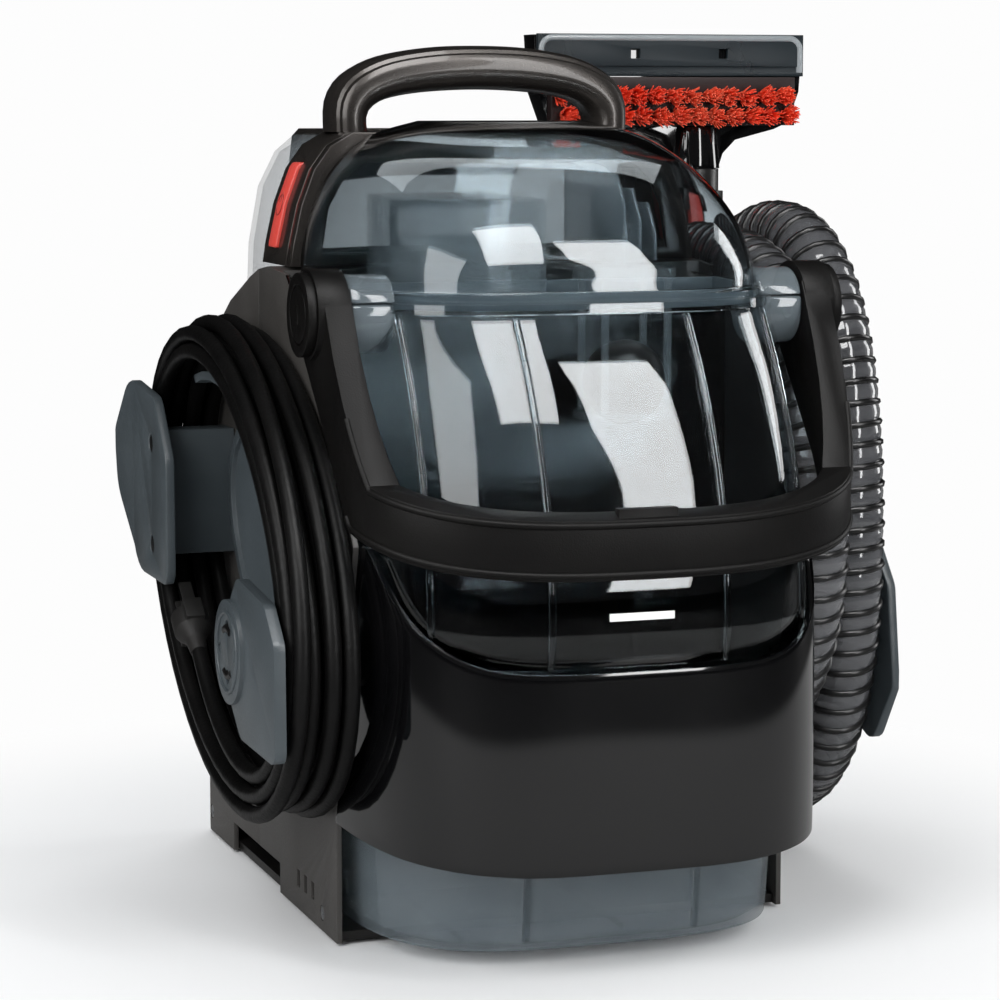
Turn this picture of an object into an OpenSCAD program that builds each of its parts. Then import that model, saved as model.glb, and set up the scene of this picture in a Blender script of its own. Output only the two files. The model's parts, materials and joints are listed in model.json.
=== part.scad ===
// Spot extractor: a portable carpet and upholstery cleaner with a front recovery tank,
// a rear clean water tank, a wound power cord and a wound suction hose with its hand tool.
// The front faces -Y, the cord side is -X, the hose side is +X, and the part stands on z = 0.

/* [Housing] */
// Width over the side walls
body_w = 212; // [204:1:220]
// Depth of the base, front edge to rear wall
body_d = 242; // [236:1:250]
// Wall of the moulded housing
wall = 2.5; // [2:0.1:3]
// Height of the base pan floor above the table
pan_z = 2; // [1.5:0.1:3]
// Thickness of the base pan floor
pan_t = 4; // [3:0.1:5]
// Height of the shelf that carries the clean tank
shelf_z = 126; // [122:1:130]
// Height of the shoulder at the seam between the two housings
shoulder_z = 291; // [288:1:294]

/* [Front tank and lid] */
// Height of the tank rim
rim_z = 283; // [280:1:286]
// Wall of the clear tanks and lid
tank_wall = 2.4; // [2:0.1:3]
// Height of the lid above the rim
lid_h = 76; // [72:1:78]
// Radius of the lid and tank ears that the bail clamps
ear_r = 17; // [14:0.5:18]

/* [Cover band] */
// Foremost reach of the gloss cover
cover_front = 217; // [210:1:222]
// Height of the lower edge of the cover at the middle
cover_z0 = 48; // [44:1:54]
// Height of the upper edge of the cover at the middle
cover_z1 = 133; // [128:1:136]
// Thickness of the cover
cover_t = 2.6; // [2:0.1:3]

/* [Bail] */
// Radius of the bail hubs
hub_r = 19.5; // [18:0.5:21]
// Radius of the pivot stubs
pivot_r = 6; // [5:0.1:7]
// Thickness of the bail arms
arm_t = 14; // [12:0.5:15]
// Height of the bail's front band
band_h = 25; // [20:1:28]

/* [Carry handle] */
// Overall height of the machine at the handle
handle_z = 394; // [388:1:398]
// Width of the handle grip, front to rear
handle_d = 33; // [28:1:34]

/* [Clean tank] */
// Rearmost reach of the clean tank
clean_rear = 130; // [126:1:134]
// Height of the clean tank's top
clean_z = 352; // [344:1:353]

/* [Cord] */
// Diameter of the power cord
cord_d = 7.5; // [6:0.1:7.7]
// Loops in the cord winding
cord_loops = 9; // [5:1:9]

/* [Hose] */
// Diameter over the hose ribs
hose_d = 34; // [30:0.5:34]
// Bore of the hose
hose_bore = 23; // [20:0.5:26]
// Ribs along the hose
hose_ribs = 150; // [90:1:155]

/* [Fan] */
// Blades of the suction fan
fan_blades = 9; // [5:1:11]
// Radius of the suction fan
fan_r = 44; // [38:1:45]

/* [Tool] */
// Width of the tool's nozzle
tool_w = 150; // [130:1:160]
// Bristle tufts in one row
tufts = 13; // [7:1:14]

/* [Hidden] */

clear = 0.3;                       // gap between pieces that seat on each other
run_gap = 0.05;                    // radial gap of a running fit
over = 1;                          // overshoot of a cutting shape
side_x = body_w / 2;
tank_w = side_x - 3;               // greatest half width of the recovery tank
tank_front = cover_front - 3;      // foremost reach of the recovery tank
clean_w = side_x - 16;             // half width of the clean tank at its foot
front_y = -body_d / 2;
rear_y = body_d / 2;
pan_top = pan_z + pan_t;
screw_r = 3.2;                     // head of a housing screw

// colours
c_shell = [0.29, 0.28, 0.27];
c_gloss = [0.03, 0.03, 0.03];
c_clear = [0.42, 0.49, 0.53, 0.55];
c_slate = [0.22, 0.25, 0.27];
c_bail = [0.16, 0.15, 0.14];
c_metal = [0.38, 0.36, 0.34];
c_red = [0.84, 0.25, 0.22];
c_cord = [0.12, 0.12, 0.12];
c_steel = [0.72, 0.73, 0.75];
c_pale = [0.80, 0.85, 0.88, 0.6];
c_tuft = [0.95, 0.27, 0.12];

// ---- helpers ----
function sgn_pow(v, p) = sign(v) * pow(abs(v), p);

// Half superellipse from (-w, yr) round the front to (w, yr); f is the foremost reach.
function bow(w, yr, f, n, k) = [for (i = [0:k]) let (a = 180 * i / k)
  [-w * sgn_pow(cos(a), 2 / n), yr - (f + yr) * sgn_pow(sin(a), 2 / n)]];

function lift(pts, z) = [for (p = pts) [p[0], p[1], z]];

// Rings of equal count joined in order into one closed solid, capped at both ends.
module loft(rings) {
  m = len(rings[0]);
  n = len(rings);
  walls = [for (j = [0:n - 2]) for (i = [0:m - 1]) let (a = j * m + i, b = j * m + (i + 1) % m)
    each [[a, a + m, b], [b, a + m, b + m]]];
  foot = [[for (i = [0:m - 1]) i]];
  top = [[for (i = [m - 1:-1:0]) (n - 1) * m + i]];
  polyhedron(points = [for (r = rings) each r], faces = concat(foot, walls, top), convexity = 8);
}

// Rings joined in order and the last back to the first, as round a bore.
module loft_loop(rings) {
  m = len(rings[0]);
  n = len(rings);
  polyhedron(points = [for (r = rings) each r], faces = [for (j = [0:n - 1]) for (i = [0:m - 1])
    let (a = j * m + i, b = j * m + (i + 1) % m, c = (j + 1) % n * m + i, d = (j + 1) % n * m + (i + 1) % m)
    each [[a, c, b], [b, c, d]]], convexity = 12);
}

// Polygon with its corners cut or rounded: pts are [x, y, radius].
function round_corners(pts, k = 4) = [for (i = [0:len(pts) - 1]) let (
    n = len(pts), p = [pts[i][0], pts[i][1]], r = pts[i][2],
    a = [pts[(i + n - 1) % n][0], pts[(i + n - 1) % n][1]] - p,
    b = [pts[(i + 1) % n][0], pts[(i + 1) % n][1]] - p,
    ua = a / norm(a), ub = b / norm(b), half = acos(ua * ub) / 2,
    t = r / tan(half), c = p + (ua + ub) / norm(ua + ub) * (r / sin(half)),
    s = p + ua * t, e = p + ub * t, a0 = atan2(s[1] - c[1], s[0] - c[0]),
    a1 = atan2(e[1] - c[1], e[0] - c[0]), d = (a1 - a0 + 540) % 360 - 180)
  each (r <= 0 ? [p] : [for (j = [0:k]) c + r * [cos(a0 + d * j / k), sin(a0 + d * j / k)]])];

// A polygon moved inwards by d along its edge normals; the points run counter-clockwise.
function inset(pts, d) = [for (i = [0:len(pts) - 1]) let (
    n = len(pts), a = pts[(i + n - 1) % n], p = pts[i], b = pts[(i + 1) % n],
    u = (p - a) / norm(p - a), v = (b - p) / norm(b - p),
    nu = [-u[1], u[0]], nv = [-v[1], v[0]], s = nu + nv)
  p + s * (d / (1 + nu * nv))];

// Extrudes a (y, z) profile along x, centred.
module side_prism(pts, x0, x1) {
  translate([x0, 0, 0]) rotate([90, 0, 90]) linear_extrude(x1 - x0) polygon(pts);
}

// Extrudes an (x, z) profile along y from y0 to y1.
module front_prism(pts, y0, y1) {
  translate([0, y1, 0]) rotate([90, 0, 0]) linear_extrude(y1 - y0) polygon(pts);
}

module box(x0, x1, y0, y1, z0, z1) {
  translate([x0, y0, z0]) cube([x1 - x0, y1 - y0, z1 - z0]);
}

module rod_x(x0, x1, y, z, r, fn = 48) {
  translate([x0, y, z]) rotate([0, 90, 0]) cylinder(h = x1 - x0, r = r, $fn = fn);
}

module mirror_pair() {
  children();
  mirror([1, 0, 0]) children();
}

// Sweeps rings of the given sides along points; radii holds one radius per point.
function sweep_rings(pts, radii, sides, up = [1, 0, 0]) = [for (i = [0:len(pts) - 1]) let (
    n = len(pts), t0 = pts[min(i + 1, n - 1)] - pts[max(i - 1, 0)], t = t0 / norm(t0),
    u0 = up - (up * t) * t, u = u0 / norm(u0), v = cross(t, u))
  [for (j = [0:sides - 1]) let (a = 360 * (j + 0.5) / sides)
    pts[i] + radii[i] * (cos(a) * u + sin(a) * v)]];

// Least distance between points of one path that lie at least skip apart along it.
function path_sums(pts, i = 1, acc = [0]) =
  i >= len(pts) ? acc : path_sums(pts, i + 1, concat(acc, [acc[i - 1] + norm(pts[i] - pts[i - 1])]));
function least_gap(pts, sums, skip) = min([for (i = [0:len(pts) - 2]) for (j = [i + 1:len(pts) - 1])
  if (sums[j] - sums[i] > skip) norm(pts[i] - pts[j])]);

// ---- housing ----
in_x = side_x - wall;              // inner face of a side wall
cross_y = -62;                     // front face of the wall behind the tank
seam_top = [3.6, shoulder_z];      // seam between the two housings, on the side
seam_foot = [13.5, pan_z - 0.5];
spine_y0 = -30;                    // front and rear of the arch that carries the handle
spine_y1 = 20;
roof_z = rim_z - 2;                // roof of the machine room under the lid

front_profile = [[front_y, seam_foot[1]], seam_foot, seam_top, [-13.6, shoulder_z + 2],
  [-43.4, shoulder_z - 0.5], [-97, 251], [-100, 242.6], [-150, 181], [-137, 130], [front_y, 54]];
rear_profile = [[seam_foot[0] + clear, seam_foot[1]], [rear_y, seam_foot[1]], [rear_y, 236],
  [106.5, 248], [89.6, 256.6], [58.7, 273], [19.7, 286.7], [seam_top[0] + clear, shoulder_z]];

module plan_block(y0, y1, r0, r1, z1 = 400) {
  linear_extrude(z1) polygon(round_corners([[-side_x, y0, r0], [side_x, y0, r0],
    [side_x, y1, r1], [-side_x, y1, r1]]));
}

module base_pan() {
  color(c_shell) difference() {
    union() {
      box(-in_x + clear, in_x - clear, front_y + 3, rear_y - wall - clear, pan_z, pan_top);
      translate([motor_x, motor_y, pan_top - over]) cylinder(h = over + 8, r = 56, $fn = 64);
      for (x = [-88, 88]) for (y = [20, 104])
        translate([x, y, pan_top - over]) cylinder(h = over + 10, r = 5, $fn = 32);
      for (x = [-60, -20, 20, 46]) box(x - 1, x + 1, cross_y + 8, motor_y - 52, pan_top - over, pan_top + 4);
    }
    translate([motor_x, motor_y, pan_top + 4]) cylinder(h = 10, r = motor_r + clear, $fn = 64);
    for (x = foot_x * [-1, 1]) for (y = foot_y)
      translate([x, y, pan_z - over]) cylinder(h = over + 2, r = foot_r + clear, $fn = 32);
    for (i = [-4:4]) box(motor_x - 40, motor_x + 40, motor_y + i * 8 - 2, motor_y + i * 8 + 2, 0, pan_top + 4.5);
  }
  // rest pad in the middle, level with the feet
  color(c_shell) box(-20, 20, -26, 8, 0, pan_z + 0.01);
}

foot_x = 86;
foot_y = [front_y + 23, rear_y - 21];
foot_r = 9;
motor_x = -6;
motor_y = 46;
motor_r = 50;

module rubber_feet() {
  color(c_cord) for (x = foot_x * [-1, 1]) for (y = foot_y) translate([x, y, 0]) {
    cylinder(h = 2, r1 = foot_r - 2, r2 = foot_r - 1, $fn = 32);
    translate([0, 0, 2 - 0.01]) cylinder(h = pan_z, r = foot_r, $fn = 32);
  }
}

module front_housing() {
  color(c_shell) difference() {
    intersection() {
      side_prism(front_profile, -side_x, side_x);
      translate([0, 0, -over]) plan_block(-160, 60, 3, 3);
    }
    box(-in_x, in_x, -300, cross_y, -over, 400);
    box(-in_x, in_x, cross_y - over, cross_y + wall + over, -over, pan_top + clear);
    box(-in_x, in_x, -300, spine_y0, roof_z, 400);
    side_prism([[cross_y + wall, -over], [40, -over], [40, shoulder_z - wall],
      [spine_y0 + wall, shoulder_z - wall], [spine_y0 + wall, roof_z - wall],
      [cross_y + wall, roof_z - wall]], -in_x, in_x);
    // suction port through the roof, under the lid
    box(port_x - 17, port_x + 17, -56, -38, roof_z - 10, roof_z + 10);
    box(-side_x - over, side_x + over, -25, 40, -over, finger_z);
    for (s = side_screws) if (s[0] < 0) mirror_pair() screw_sink(s);
    mirror_pair() side_vents();
  }
}

finger_z = 15.6;                   // finger recess under the side walls
port_x = -36;                      // middle of the suction port under the lid
side_screws = [[107.8, 11.4], [-97, 9.5]];

module screw_sink(s) {
  translate([side_x - 1.6, s[0], s[1]]) rotate([0, 90, 0]) cylinder(h = 5, r = screw_r + 0.4, $fn = 32);
}

// short slots low in the front of each side wall
module side_vents() {
  for (i = [0:2]) box(side_x - wall - over, side_x + over, -84 + i * 12, -79 + i * 12, 12, 20);
}

module rear_housing() {
  bay_x = clean_w + 1.5;
  color(c_shell) difference() {
    intersection() {
      side_prism(rear_profile, -side_x, side_x);
      translate([0, 0, -over]) plan_block(-60, rear_y, 3, 10);
    }
    // bay of the clean tank, open above and behind
    box(-bay_x, bay_x, bay_y, 300, shelf_z, 400);
    // machine room
    box(-in_x, in_x, -10, rear_y - wall, -over, shelf_z - wall);
    box(-in_x, in_x, -10, bay_y - wall, shelf_z - wall - over, shoulder_z - 12);
    box(-in_x, -bay_x - wall, -10, rear_y - 12, shelf_z - wall - over, 230);
    box(bay_x + wall, in_x, -10, rear_y - 12, shelf_z - wall - over, 230);
    box(-side_x - over, side_x + over, -10, 63, -over, finger_z);
    // exhaust window in the rear wall
    box(-58, 58, rear_y - wall - over, rear_y + over, 32, 92);
    // valve hole in the bay's front wall and port for the suction hose
    rotate([90, 0, 0]) translate([0, valve_z, -bay_y - over]) cylinder(h = wall + 2 * over, r = 11, $fn = 48);
    rod_x(in_x - 8, side_x + over, port_y, port_z, port_hole);
    for (s = side_screws) if (s[0] > 0) mirror_pair() screw_sink(s);
  }
}

bay_y = spine_y1 + 3;              // front wall of the clean tank's bay
valve_z = shelf_z + 24;            // height of the water valve

// Every side screw is a domed head with a cross slot, seated in its sink.
module housing_screws() {
  color(c_steel) mirror_pair() for (s = side_screws)
    translate([side_x - 1.6, s[0], s[1]]) rotate([0, 90, 0]) difference() {
      cylinder(h = 1.3, r = screw_r, $fn = 32);
      for (a = [0, 90]) rotate(a) translate([-2.4, -0.5, 0.6]) cube([4.8, 1, 2]);
    }
}

cover_n = 4;
cover_yr = -30;
cover_profile = [[front_y - clear, 56], [-137 - clear, 130], [-150 - clear, 183], [-178, 158],
  [-206, cover_z1 + 6], [-cover_front - 5, cover_z1 - 1], [-cover_front - 5, cover_z0],
  [-198, cover_z0 + 3]];

function cover_plan(d, k = 36) = bow(side_x + 2 - d, cover_yr, cover_front - d, cover_n, k);

module gloss_cover() {
  color(c_gloss) intersection() {
    difference() {
      linear_extrude(220) polygon(concat(cover_plan(0), [[side_x + 2, 0], [-side_x - 2, 0]]));
      translate([0, 0, -over]) linear_extrude(240)
        polygon(concat(cover_plan(cover_t), [[side_x + 2 - cover_t, 10], [-side_x - 2 + cover_t, 10]]));
    }
    side_prism([for (i = [len(cover_profile) - 1:-1:0]) cover_profile[i]], -150, 150);
  }
}

// ---- arch, carry handle and switches ----
arch_half = [[side_x - 6, shoulder_z + 2 + clear], [side_x - 7.5, shoulder_z + 12],
  [side_x - 11.5, shoulder_z + 30], [side_x - 17.5, shoulder_z + 46], [side_x - 25.5, shoulder_z + 57],
  [side_x - 36, shoulder_z + 63]];
arch_hole = [[side_x - 22, shoulder_z + 8], [side_x - 25, shoulder_z + 28], [side_x - 31, shoulder_z + 40],
  [side_x - 41, shoulder_z + 49]];
function arch_outline(d) = inset(concat(arch_half,
  [for (i = [len(arch_half) - 1:-1:0]) [-arch_half[i][0], arch_half[i][1]]]), d);

switch_lo = 301;
switch_hi = 340;
switch_w = 13;
switch_press = 2;                  // depth left behind a button for its travel

// Band of the arch's side between two heights, dd deep under the surface.
module arch_band(z0, z1, d0, d1, y0, y1) {
  intersection() {
    difference() {
      front_prism(arch_outline(d0), y0, y1);
      front_prism(arch_outline(d1), y0 - over, y1 + over);
    }
    box(-200, 0, y0 - over, y1 + over, z0, z1);
  }
}

module arch_frame() {
  color(c_metal) difference() {
    front_prism(arch_outline(0), spine_y0, spine_y1);
    front_prism(arch_outline(3), spine_y0 + 3, spine_y1 - 3);
    // open inside the frame, so that light falls through the lid
    front_prism(concat(arch_hole, [for (i = [len(arch_hole) - 1:-1:0]) [-arch_hole[i][0], arch_hole[i][1]]]),
      spine_y0 - over, spine_y1 + over);
    mirror_pair() arch_band(switch_lo - clear, switch_hi + clear, -2, 3 + over,
      switch_y - switch_w / 2 - clear, switch_y + switch_w / 2 + clear);
    // joint line that runs over the arch
    difference() {
      front_prism(arch_outline(-over), spine_y0 + 8, spine_y0 + 9);
      front_prism(arch_outline(0.8), spine_y0 + 7, spine_y0 + 10);
    }
  }
}

switch_y = 2;
handle_r = [[-73, 354], [-73, 366], [-70.5, 374], [-64.5, 381], [-53, 387.3], [-39, 391], [-20, 393.4], [0, handle_z]];
handle_in = [[-55, 354], [-55.5, 360.5], [-52.5, 365.5], [-44, 369.5], [-26, 372.3], [0, 373.5]];

function mirrored(half) = concat(half, [for (i = [len(half) - 2:-1:0]) [-half[i][0], half[i][1]]]);

handle_y0 = -13;

module carry_handle() {
  outer = mirrored(handle_r);
  inner = mirrored(handle_in);
  ring = concat([for (i = [len(outer) - 1:-1:0]) outer[i]], inner);
  color(c_metal) difference() {
    front_prism([for (i = [len(ring) - 1:-1:0]) ring[i]], handle_y0, handle_y0 + handle_d);
    // recess of the under-side insert and the seam along the front
    front_prism([for (i = [len(inner) - 1:-1:0]) inner[i] + [0, i == 0 || i == len(inner) - 1 ? -over : 3]],
      handle_y0 + 4, handle_y0 + handle_d - 4);
    difference() {
      front_prism(inset([for (i = [len(outer) - 1:-1:0]) outer[i]], 9), handle_y0 - over, handle_y0 + 0.8);
      front_prism(inset([for (i = [len(outer) - 1:-1:0]) outer[i]], 10), handle_y0 - 2 * over, handle_y0 + 2);
    }
  }
}

module handle_underside() {
  inner = [for (p = mirrored(handle_in)) [p[0] * 0.985, p[1]]];
  up = [for (i = [len(inner) - 1:-1:0]) inner[i] + [0, 3 - clear]];
  color(c_cord) front_prism(concat([for (i = [1:len(inner) - 2]) inner[i]],
    [for (i = [1:len(up) - 2]) up[i]]), handle_y0 + 4 + clear, handle_y0 + handle_d - 4 - clear);
}

// A switch button follows the arch's curve and stands 1.5 mm proud of it.
module arch_switch() {
  arch_band(switch_lo, switch_hi, -1.5, 3 - clear, switch_y - switch_w / 2, switch_y + switch_w / 2);
}

module power_button() {
  color(c_red) difference() {
    arch_switch();
    // ring and bar pressed into the face
    translate([-93, switch_y, (switch_lo + switch_hi) / 2]) rotate([0, -78, 0]) translate([0, 0, -2]) difference() {
      cylinder(h = 20, r = 5, $fn = 32);
      translate([0, 0, -over]) cylinder(h = 22, r = 4.1, $fn = 32);
      translate([0, 0, -over]) cylinder(h = 5.5 + over, r = 6, $fn = 32);
    }
  }
}

module spray_button() {
  color(c_red) mirror([1, 0, 0]) arch_switch();
}

// Switch bodies behind the two buttons, hung from the arch.
module button_seats() {
  color(c_cord) mirror_pair() difference() {
    box(20 - side_x, 29 - side_x, switch_y - 9, switch_y + 9, shoulder_z + 15, shoulder_z + 43);
    // room for the button's travel
    arch_band(switch_lo - 3, switch_hi + 3, -2, 3 + switch_press, switch_y - switch_w / 2 - clear,
      switch_y + switch_w / 2 + clear);
  }
}

// ---- recovery tank and lid ----
tank_yr = cross_y - clear;         // rear face of the tank
tank_n = 3.6;
ear_y = -125;                      // axis of the bail and of the ears
ear_z = rim_z - 5;
ear_x = in_x + clear;              // end face of the ears
lid_z = rim_z + clear;             // parting plane, lid side
hub_x = ear_x + 0.9;               // inner face of a bail hub

// [height, half width, foremost reach] from the floor to the rim
tank_levels = [[pan_top + clear, tank_w - 7, tank_front - 34], [50, tank_w - 6, tank_front - 30],
  [cover_z1 - 7, tank_w - 5, tank_front - 26], [cover_z1 + 1.5, tank_w - 2, tank_front - 3],
  [150, tank_w, tank_front], [180, tank_w, tank_front - 2.5], [215, tank_w - 1, tank_front - 12],
  [250, tank_w - 3.5, tank_front - 29], [rim_z - 5, tank_w - 7, tank_front - 48],
  [rim_z - 4, tank_w - 5, tank_front - 46], [rim_z, tank_w - 5, tank_front - 46.5]];

function tank_ring(level, d, k = 30) =
  lift(bow(level[1] - d, tank_yr - d, level[2] - d, tank_n, k), level[0]);

// y of the tank's front surface at x and a level, moved out by d
function tank_skin(x, level, d) = tank_yr - (level[2] + tank_yr + d)
  * pow(1 - pow(abs(x) / (level[1] + d), tank_n), 1 / tank_n);

rib_x = [19 - tank_w, -39, 39, tank_w - 19];

module tank_rib(x, first, last) {
  loft([for (i = [first:last]) let (v = tank_levels[i], y0 = tank_skin(x - 1.6, v, -0.8),
    y1 = tank_skin(x + 1.6, v, -0.8), s = tank_skin(x, v, 1.3))
    [[x - 1.6, y0, v[0]], [x - 0.8, s, v[0]], [x + 0.8, s, v[0]], [x + 1.6, y1, v[0]]]]);
}

ear_cut = asin((lid_z - ear_z) / ear_r);  // where the parting plane meets the ears

// Profile (y, z) of an ear's round edge from angle a0 to a1, closed by its chord.
function ear_outline(a0, a1, k = 14) =
  [for (i = [0:k]) let (a = a0 + (a1 - a0) * i / k) [ear_y + ear_r * cos(a), ear_z + ear_r * sin(a)]];

module tank_shell() {
  floor_level = tank_levels[0] + [tank_wall, 0, 0];
  color(c_clear) difference() {
    union() {
      loft([for (v = tank_levels) tank_ring(v, 0)]);
      mirror_pair() side_prism(ear_outline(180 - ear_cut + 1.4, 360 + ear_cut - 1.4), 70, ear_x);
      for (x = rib_x) tank_rib(x, 3, 8);
      for (x = [-39, 39]) tank_rib(x, 0, 2);
    }
    loft(concat([tank_ring(floor_level, tank_wall)],
      [for (i = [1:len(tank_levels) - 1]) tank_ring(tank_levels[i], tank_wall)],
      [tank_ring(tank_levels[10] + [over, 0, 0], tank_wall)]));
  }
  // low round pip on the floor
  color(c_clear) translate([-20, -120, floor_level[0] - 0.01]) cylinder(h = 1.6, r1 = 7, r2 = 4.5, $fn = 32);
}

module bail_pivots() {
  color(c_clear) mirror_pair() difference() {
    rod_x(ear_x, ear_x + arm_t, ear_y, ear_z, pivot_r);
    rod_x(ear_x + 4, ear_x + arm_t + over, ear_y, ear_z, pivot_r - 2);
  }
}

module tank_level_bar() {
  level = [156, tank_w, tank_front - 0.5];
  y0 = tank_skin(0, level, 0.6);
  color("white") translate([0, 0, 154.4]) linear_extrude(3.2) polygon(concat(
    [for (i = [-4:4]) [i * 3.6, tank_skin(i * 3.6, level, 1.1)]],
    [for (i = [4:-1:-4]) [i * 3.6, tank_skin(i * 3.6, level, 0.4)]]));
}

lid_yr = spine_y0 - 3;
// [height above the rim, half width, foremost reach, squareness]
lid_levels = [[0, tank_w - 5, tank_front - 46.5, 3.6], [4, tank_w - 5, tank_front - 46.5, 3.6],
  [4.5, tank_w - 7, tank_front - 49, 3.6], [17, tank_w - 7.5, tank_front - 52, 3.5],
  [34, tank_w - 11.5, tank_front - 63, 3.3], [50, tank_w - 19, tank_front - 83, 3],
  [62, tank_w - 29.5, tank_front - 106, 2.8], [70.5, tank_w - 43, tank_front - 130, 2.6],
  [lid_h, tank_w - 63, tank_front - 155, 2.4]];

function lid_ring(v, d, k = 30) = lift(bow(v[1] - d, lid_yr - d, v[2] - d, v[3], k),
  lid_z + v[0] - (v[0] > 60 ? d * (v[0] - 60) / (lid_h - 60) : 0));

module lid_dome() {
  n = len(lid_levels);
  color(c_clear) difference() {
    union() {
      loft([for (v = lid_levels) lid_ring(v, 0)]);
      mirror_pair() side_prism(ear_outline(ear_cut, 180 - ear_cut), 70, ear_x);
    }
    loft(concat([tank_cut(lid_ring(lid_levels[0], tank_wall))],
      [for (i = [1:n - 1]) lid_ring(lid_levels[i], tank_wall)]));
  }
  // stepped air guides under the right of the dome
  color(c_clear) for (i = [0:2])
    box(30 + i * 9, 32 + i * 9, -118 + i * 12, lid_yr - 1, lid_z + 30, lid_z + 52 - i * 7);
}

function tank_cut(ring) = [for (p = ring) [p[0], p[1], p[2] - over]];

// Outline of the seal's edge, d inside the lid's skin and back inside the tank's rear wall.
module seal_outline(d, back) {
  level = lid_levels[0];
  intersection() {
    polygon(bow(level[1] - d, lid_yr - d, level[2] - d, level[3], 30));
    translate([-side_x, -300]) square([2 * side_x, 300 + tank_yr - back]);
  }
}

module lid_seal() {
  color(c_cord) translate([0, 0, lid_z - 3]) linear_extrude(7) difference() {
    seal_outline(tank_wall + clear, 5);
    seal_outline(tank_wall + clear + 3, 8);
  }
}

sep_x0 = -66;
sep_x1 = -8;
sep_y0 = -118;

// Air and water separator: an open-bottomed tower that links the tank to the suction port.
module separator_box() {
  y1 = lid_yr - tank_wall - clear;
  top = lid_z + 42;
  color(c_clear) difference() {
    box(sep_x0, sep_x1, sep_y0, y1, lid_z + 2, top);
    box(sep_x0 - over, sep_x1 + over, tank_yr - 8 - clear, tank_yr - 5 + clear, lid_z, lid_z + 4 + clear);
    box(sep_x0 + 2, sep_x1 - 2, sep_y0 + 2, cross_y - 4, lid_z - over, top - 2);
    box(sep_x0 + 2, sep_x1 - 2, cross_y - 2, y1 - 2, lid_z + 4, top - 2);
    box(sep_x0 + 6, sep_x1 - 6, cross_y - 6, cross_y, lid_z + 24, top - 6);
    box(port_x - 15, port_x + 15, -54, -40, lid_z - over, lid_z + 6);
  }
}

guide_x = 34;
guide_y = -104;

// Cage of four bars that guides the float, hung from the lid.
module float_guide() {
  color(c_cord) {
    translate([guide_x, guide_y, lid_z + 6]) difference() {
      cylinder(h = 5, r = 23, $fn = 48);
      translate([0, 0, -over]) cylinder(h = 8, r = 12, $fn = 48);
    }
    for (a = [45:90:315]) translate([guide_x + 21 * cos(a), guide_y + 21 * sin(a), lid_z - 54])
      cylinder(h = 60.5, r = 1.8, $fn = 24);
    translate([guide_x, guide_y, lid_z - 56]) difference() {
      cylinder(h = 3, r = 23, $fn = 48);
      translate([0, 0, -over]) cylinder(h = 6, r = 14, $fn = 48);
    }
    // hanger up to the lid's stepped air guides
    box(guide_x - 3, guide_x + 11, guide_y + 12, guide_y + 22, lid_z + 11 - 0.01, lid_z + 30 - clear);
  }
}

float_r = 18.8;

// The float rests in the lower ring of its cage.
module float_ball() {
  color([0.9, 0.9, 0.86]) translate([guide_x, guide_y, lid_z - 53 + sqrt(float_r * float_r - 14 * 14) + clear])
    sphere(r = float_r, $fn = 48);
}

// ---- bail ----
bail_profile = [[-109.7, ear_z - 11.3], [-140.3, ear_z + 11.3], [-183, 211], [-tank_front - 20, 194],
  [-tank_front - 20, 194 - band_h], [-170, 190.3], [-160, 207]];

module bail() {
  w = hub_x + arm_t - 2.5;
  color(c_bail) difference() {
    union() {
      intersection() {
        side_prism(bail_profile, -130, 130);
        linear_extrude(400) difference() {
          polygon(concat([[-hub_x - arm_t, -100]], bow(w, -140, tank_front + 9, 2.8, 32), [[hub_x + arm_t, -100]]));
          polygon(concat([[-hub_x, -90]], bow(hub_x - 0.6, -140, tank_front + 0.6, 2.8, 32), [[hub_x, -90]]));
        }
      }
      mirror_pair() rod_x(hub_x, hub_x + arm_t, ear_y, ear_z, hub_r, 64);
      // thumb tab on the band's upper edge
      box(-13, 13, -tank_front - 7, -tank_front - 2, 195, 202);
    }
    mirror_pair() rod_x(hub_x - over, hub_x + arm_t + over, ear_y, ear_z, pivot_r + run_gap);
  }
}

module hub_caps() {
  color(c_bail) mirror_pair() difference() {
    rod_x(hub_x + arm_t, hub_x + arm_t + 4, ear_y, ear_z, hub_r - 1.5, 64);
    difference() {
      rod_x(hub_x + arm_t + 3, hub_x + arm_t + 6, ear_y, ear_z, 13, 64);
      rod_x(hub_x + arm_t + 2, hub_x + arm_t + 7, ear_y, ear_z, 12, 64);
    }
    box(hub_x + arm_t + 3.2, hub_x + arm_t + 6, ear_y - 1, ear_y + 1, ear_z - 4, ear_z + 4);
  }
}

// ---- clean water tank ----
clean_y0 = bay_y + clear;
clean_levels = [[shelf_z + clear, clean_w, clean_rear - 6], [clean_z - 100, clean_w, clean_rear],
  [clean_z - 80, clean_w + 1, clean_rear], [clean_z - 53, clean_w, clean_rear - 1],
  [clean_z - 25, clean_w - 3, clean_rear - 13], [clean_z - 8, clean_w - 9, clean_rear - 28],
  [clean_z, clean_w - 17, clean_rear - 38]];

function clean_ring(v, d, k = 22) = [for (i = [0:k]) let (a = 180 * i / k, n = 5)
  [(v[1] - d) * sgn_pow(cos(a), 2 / n), clean_y0 + d + (v[2] - clean_y0 - 2 * d) * sgn_pow(sin(a), 2 / n),
    v[0]]];

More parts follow.
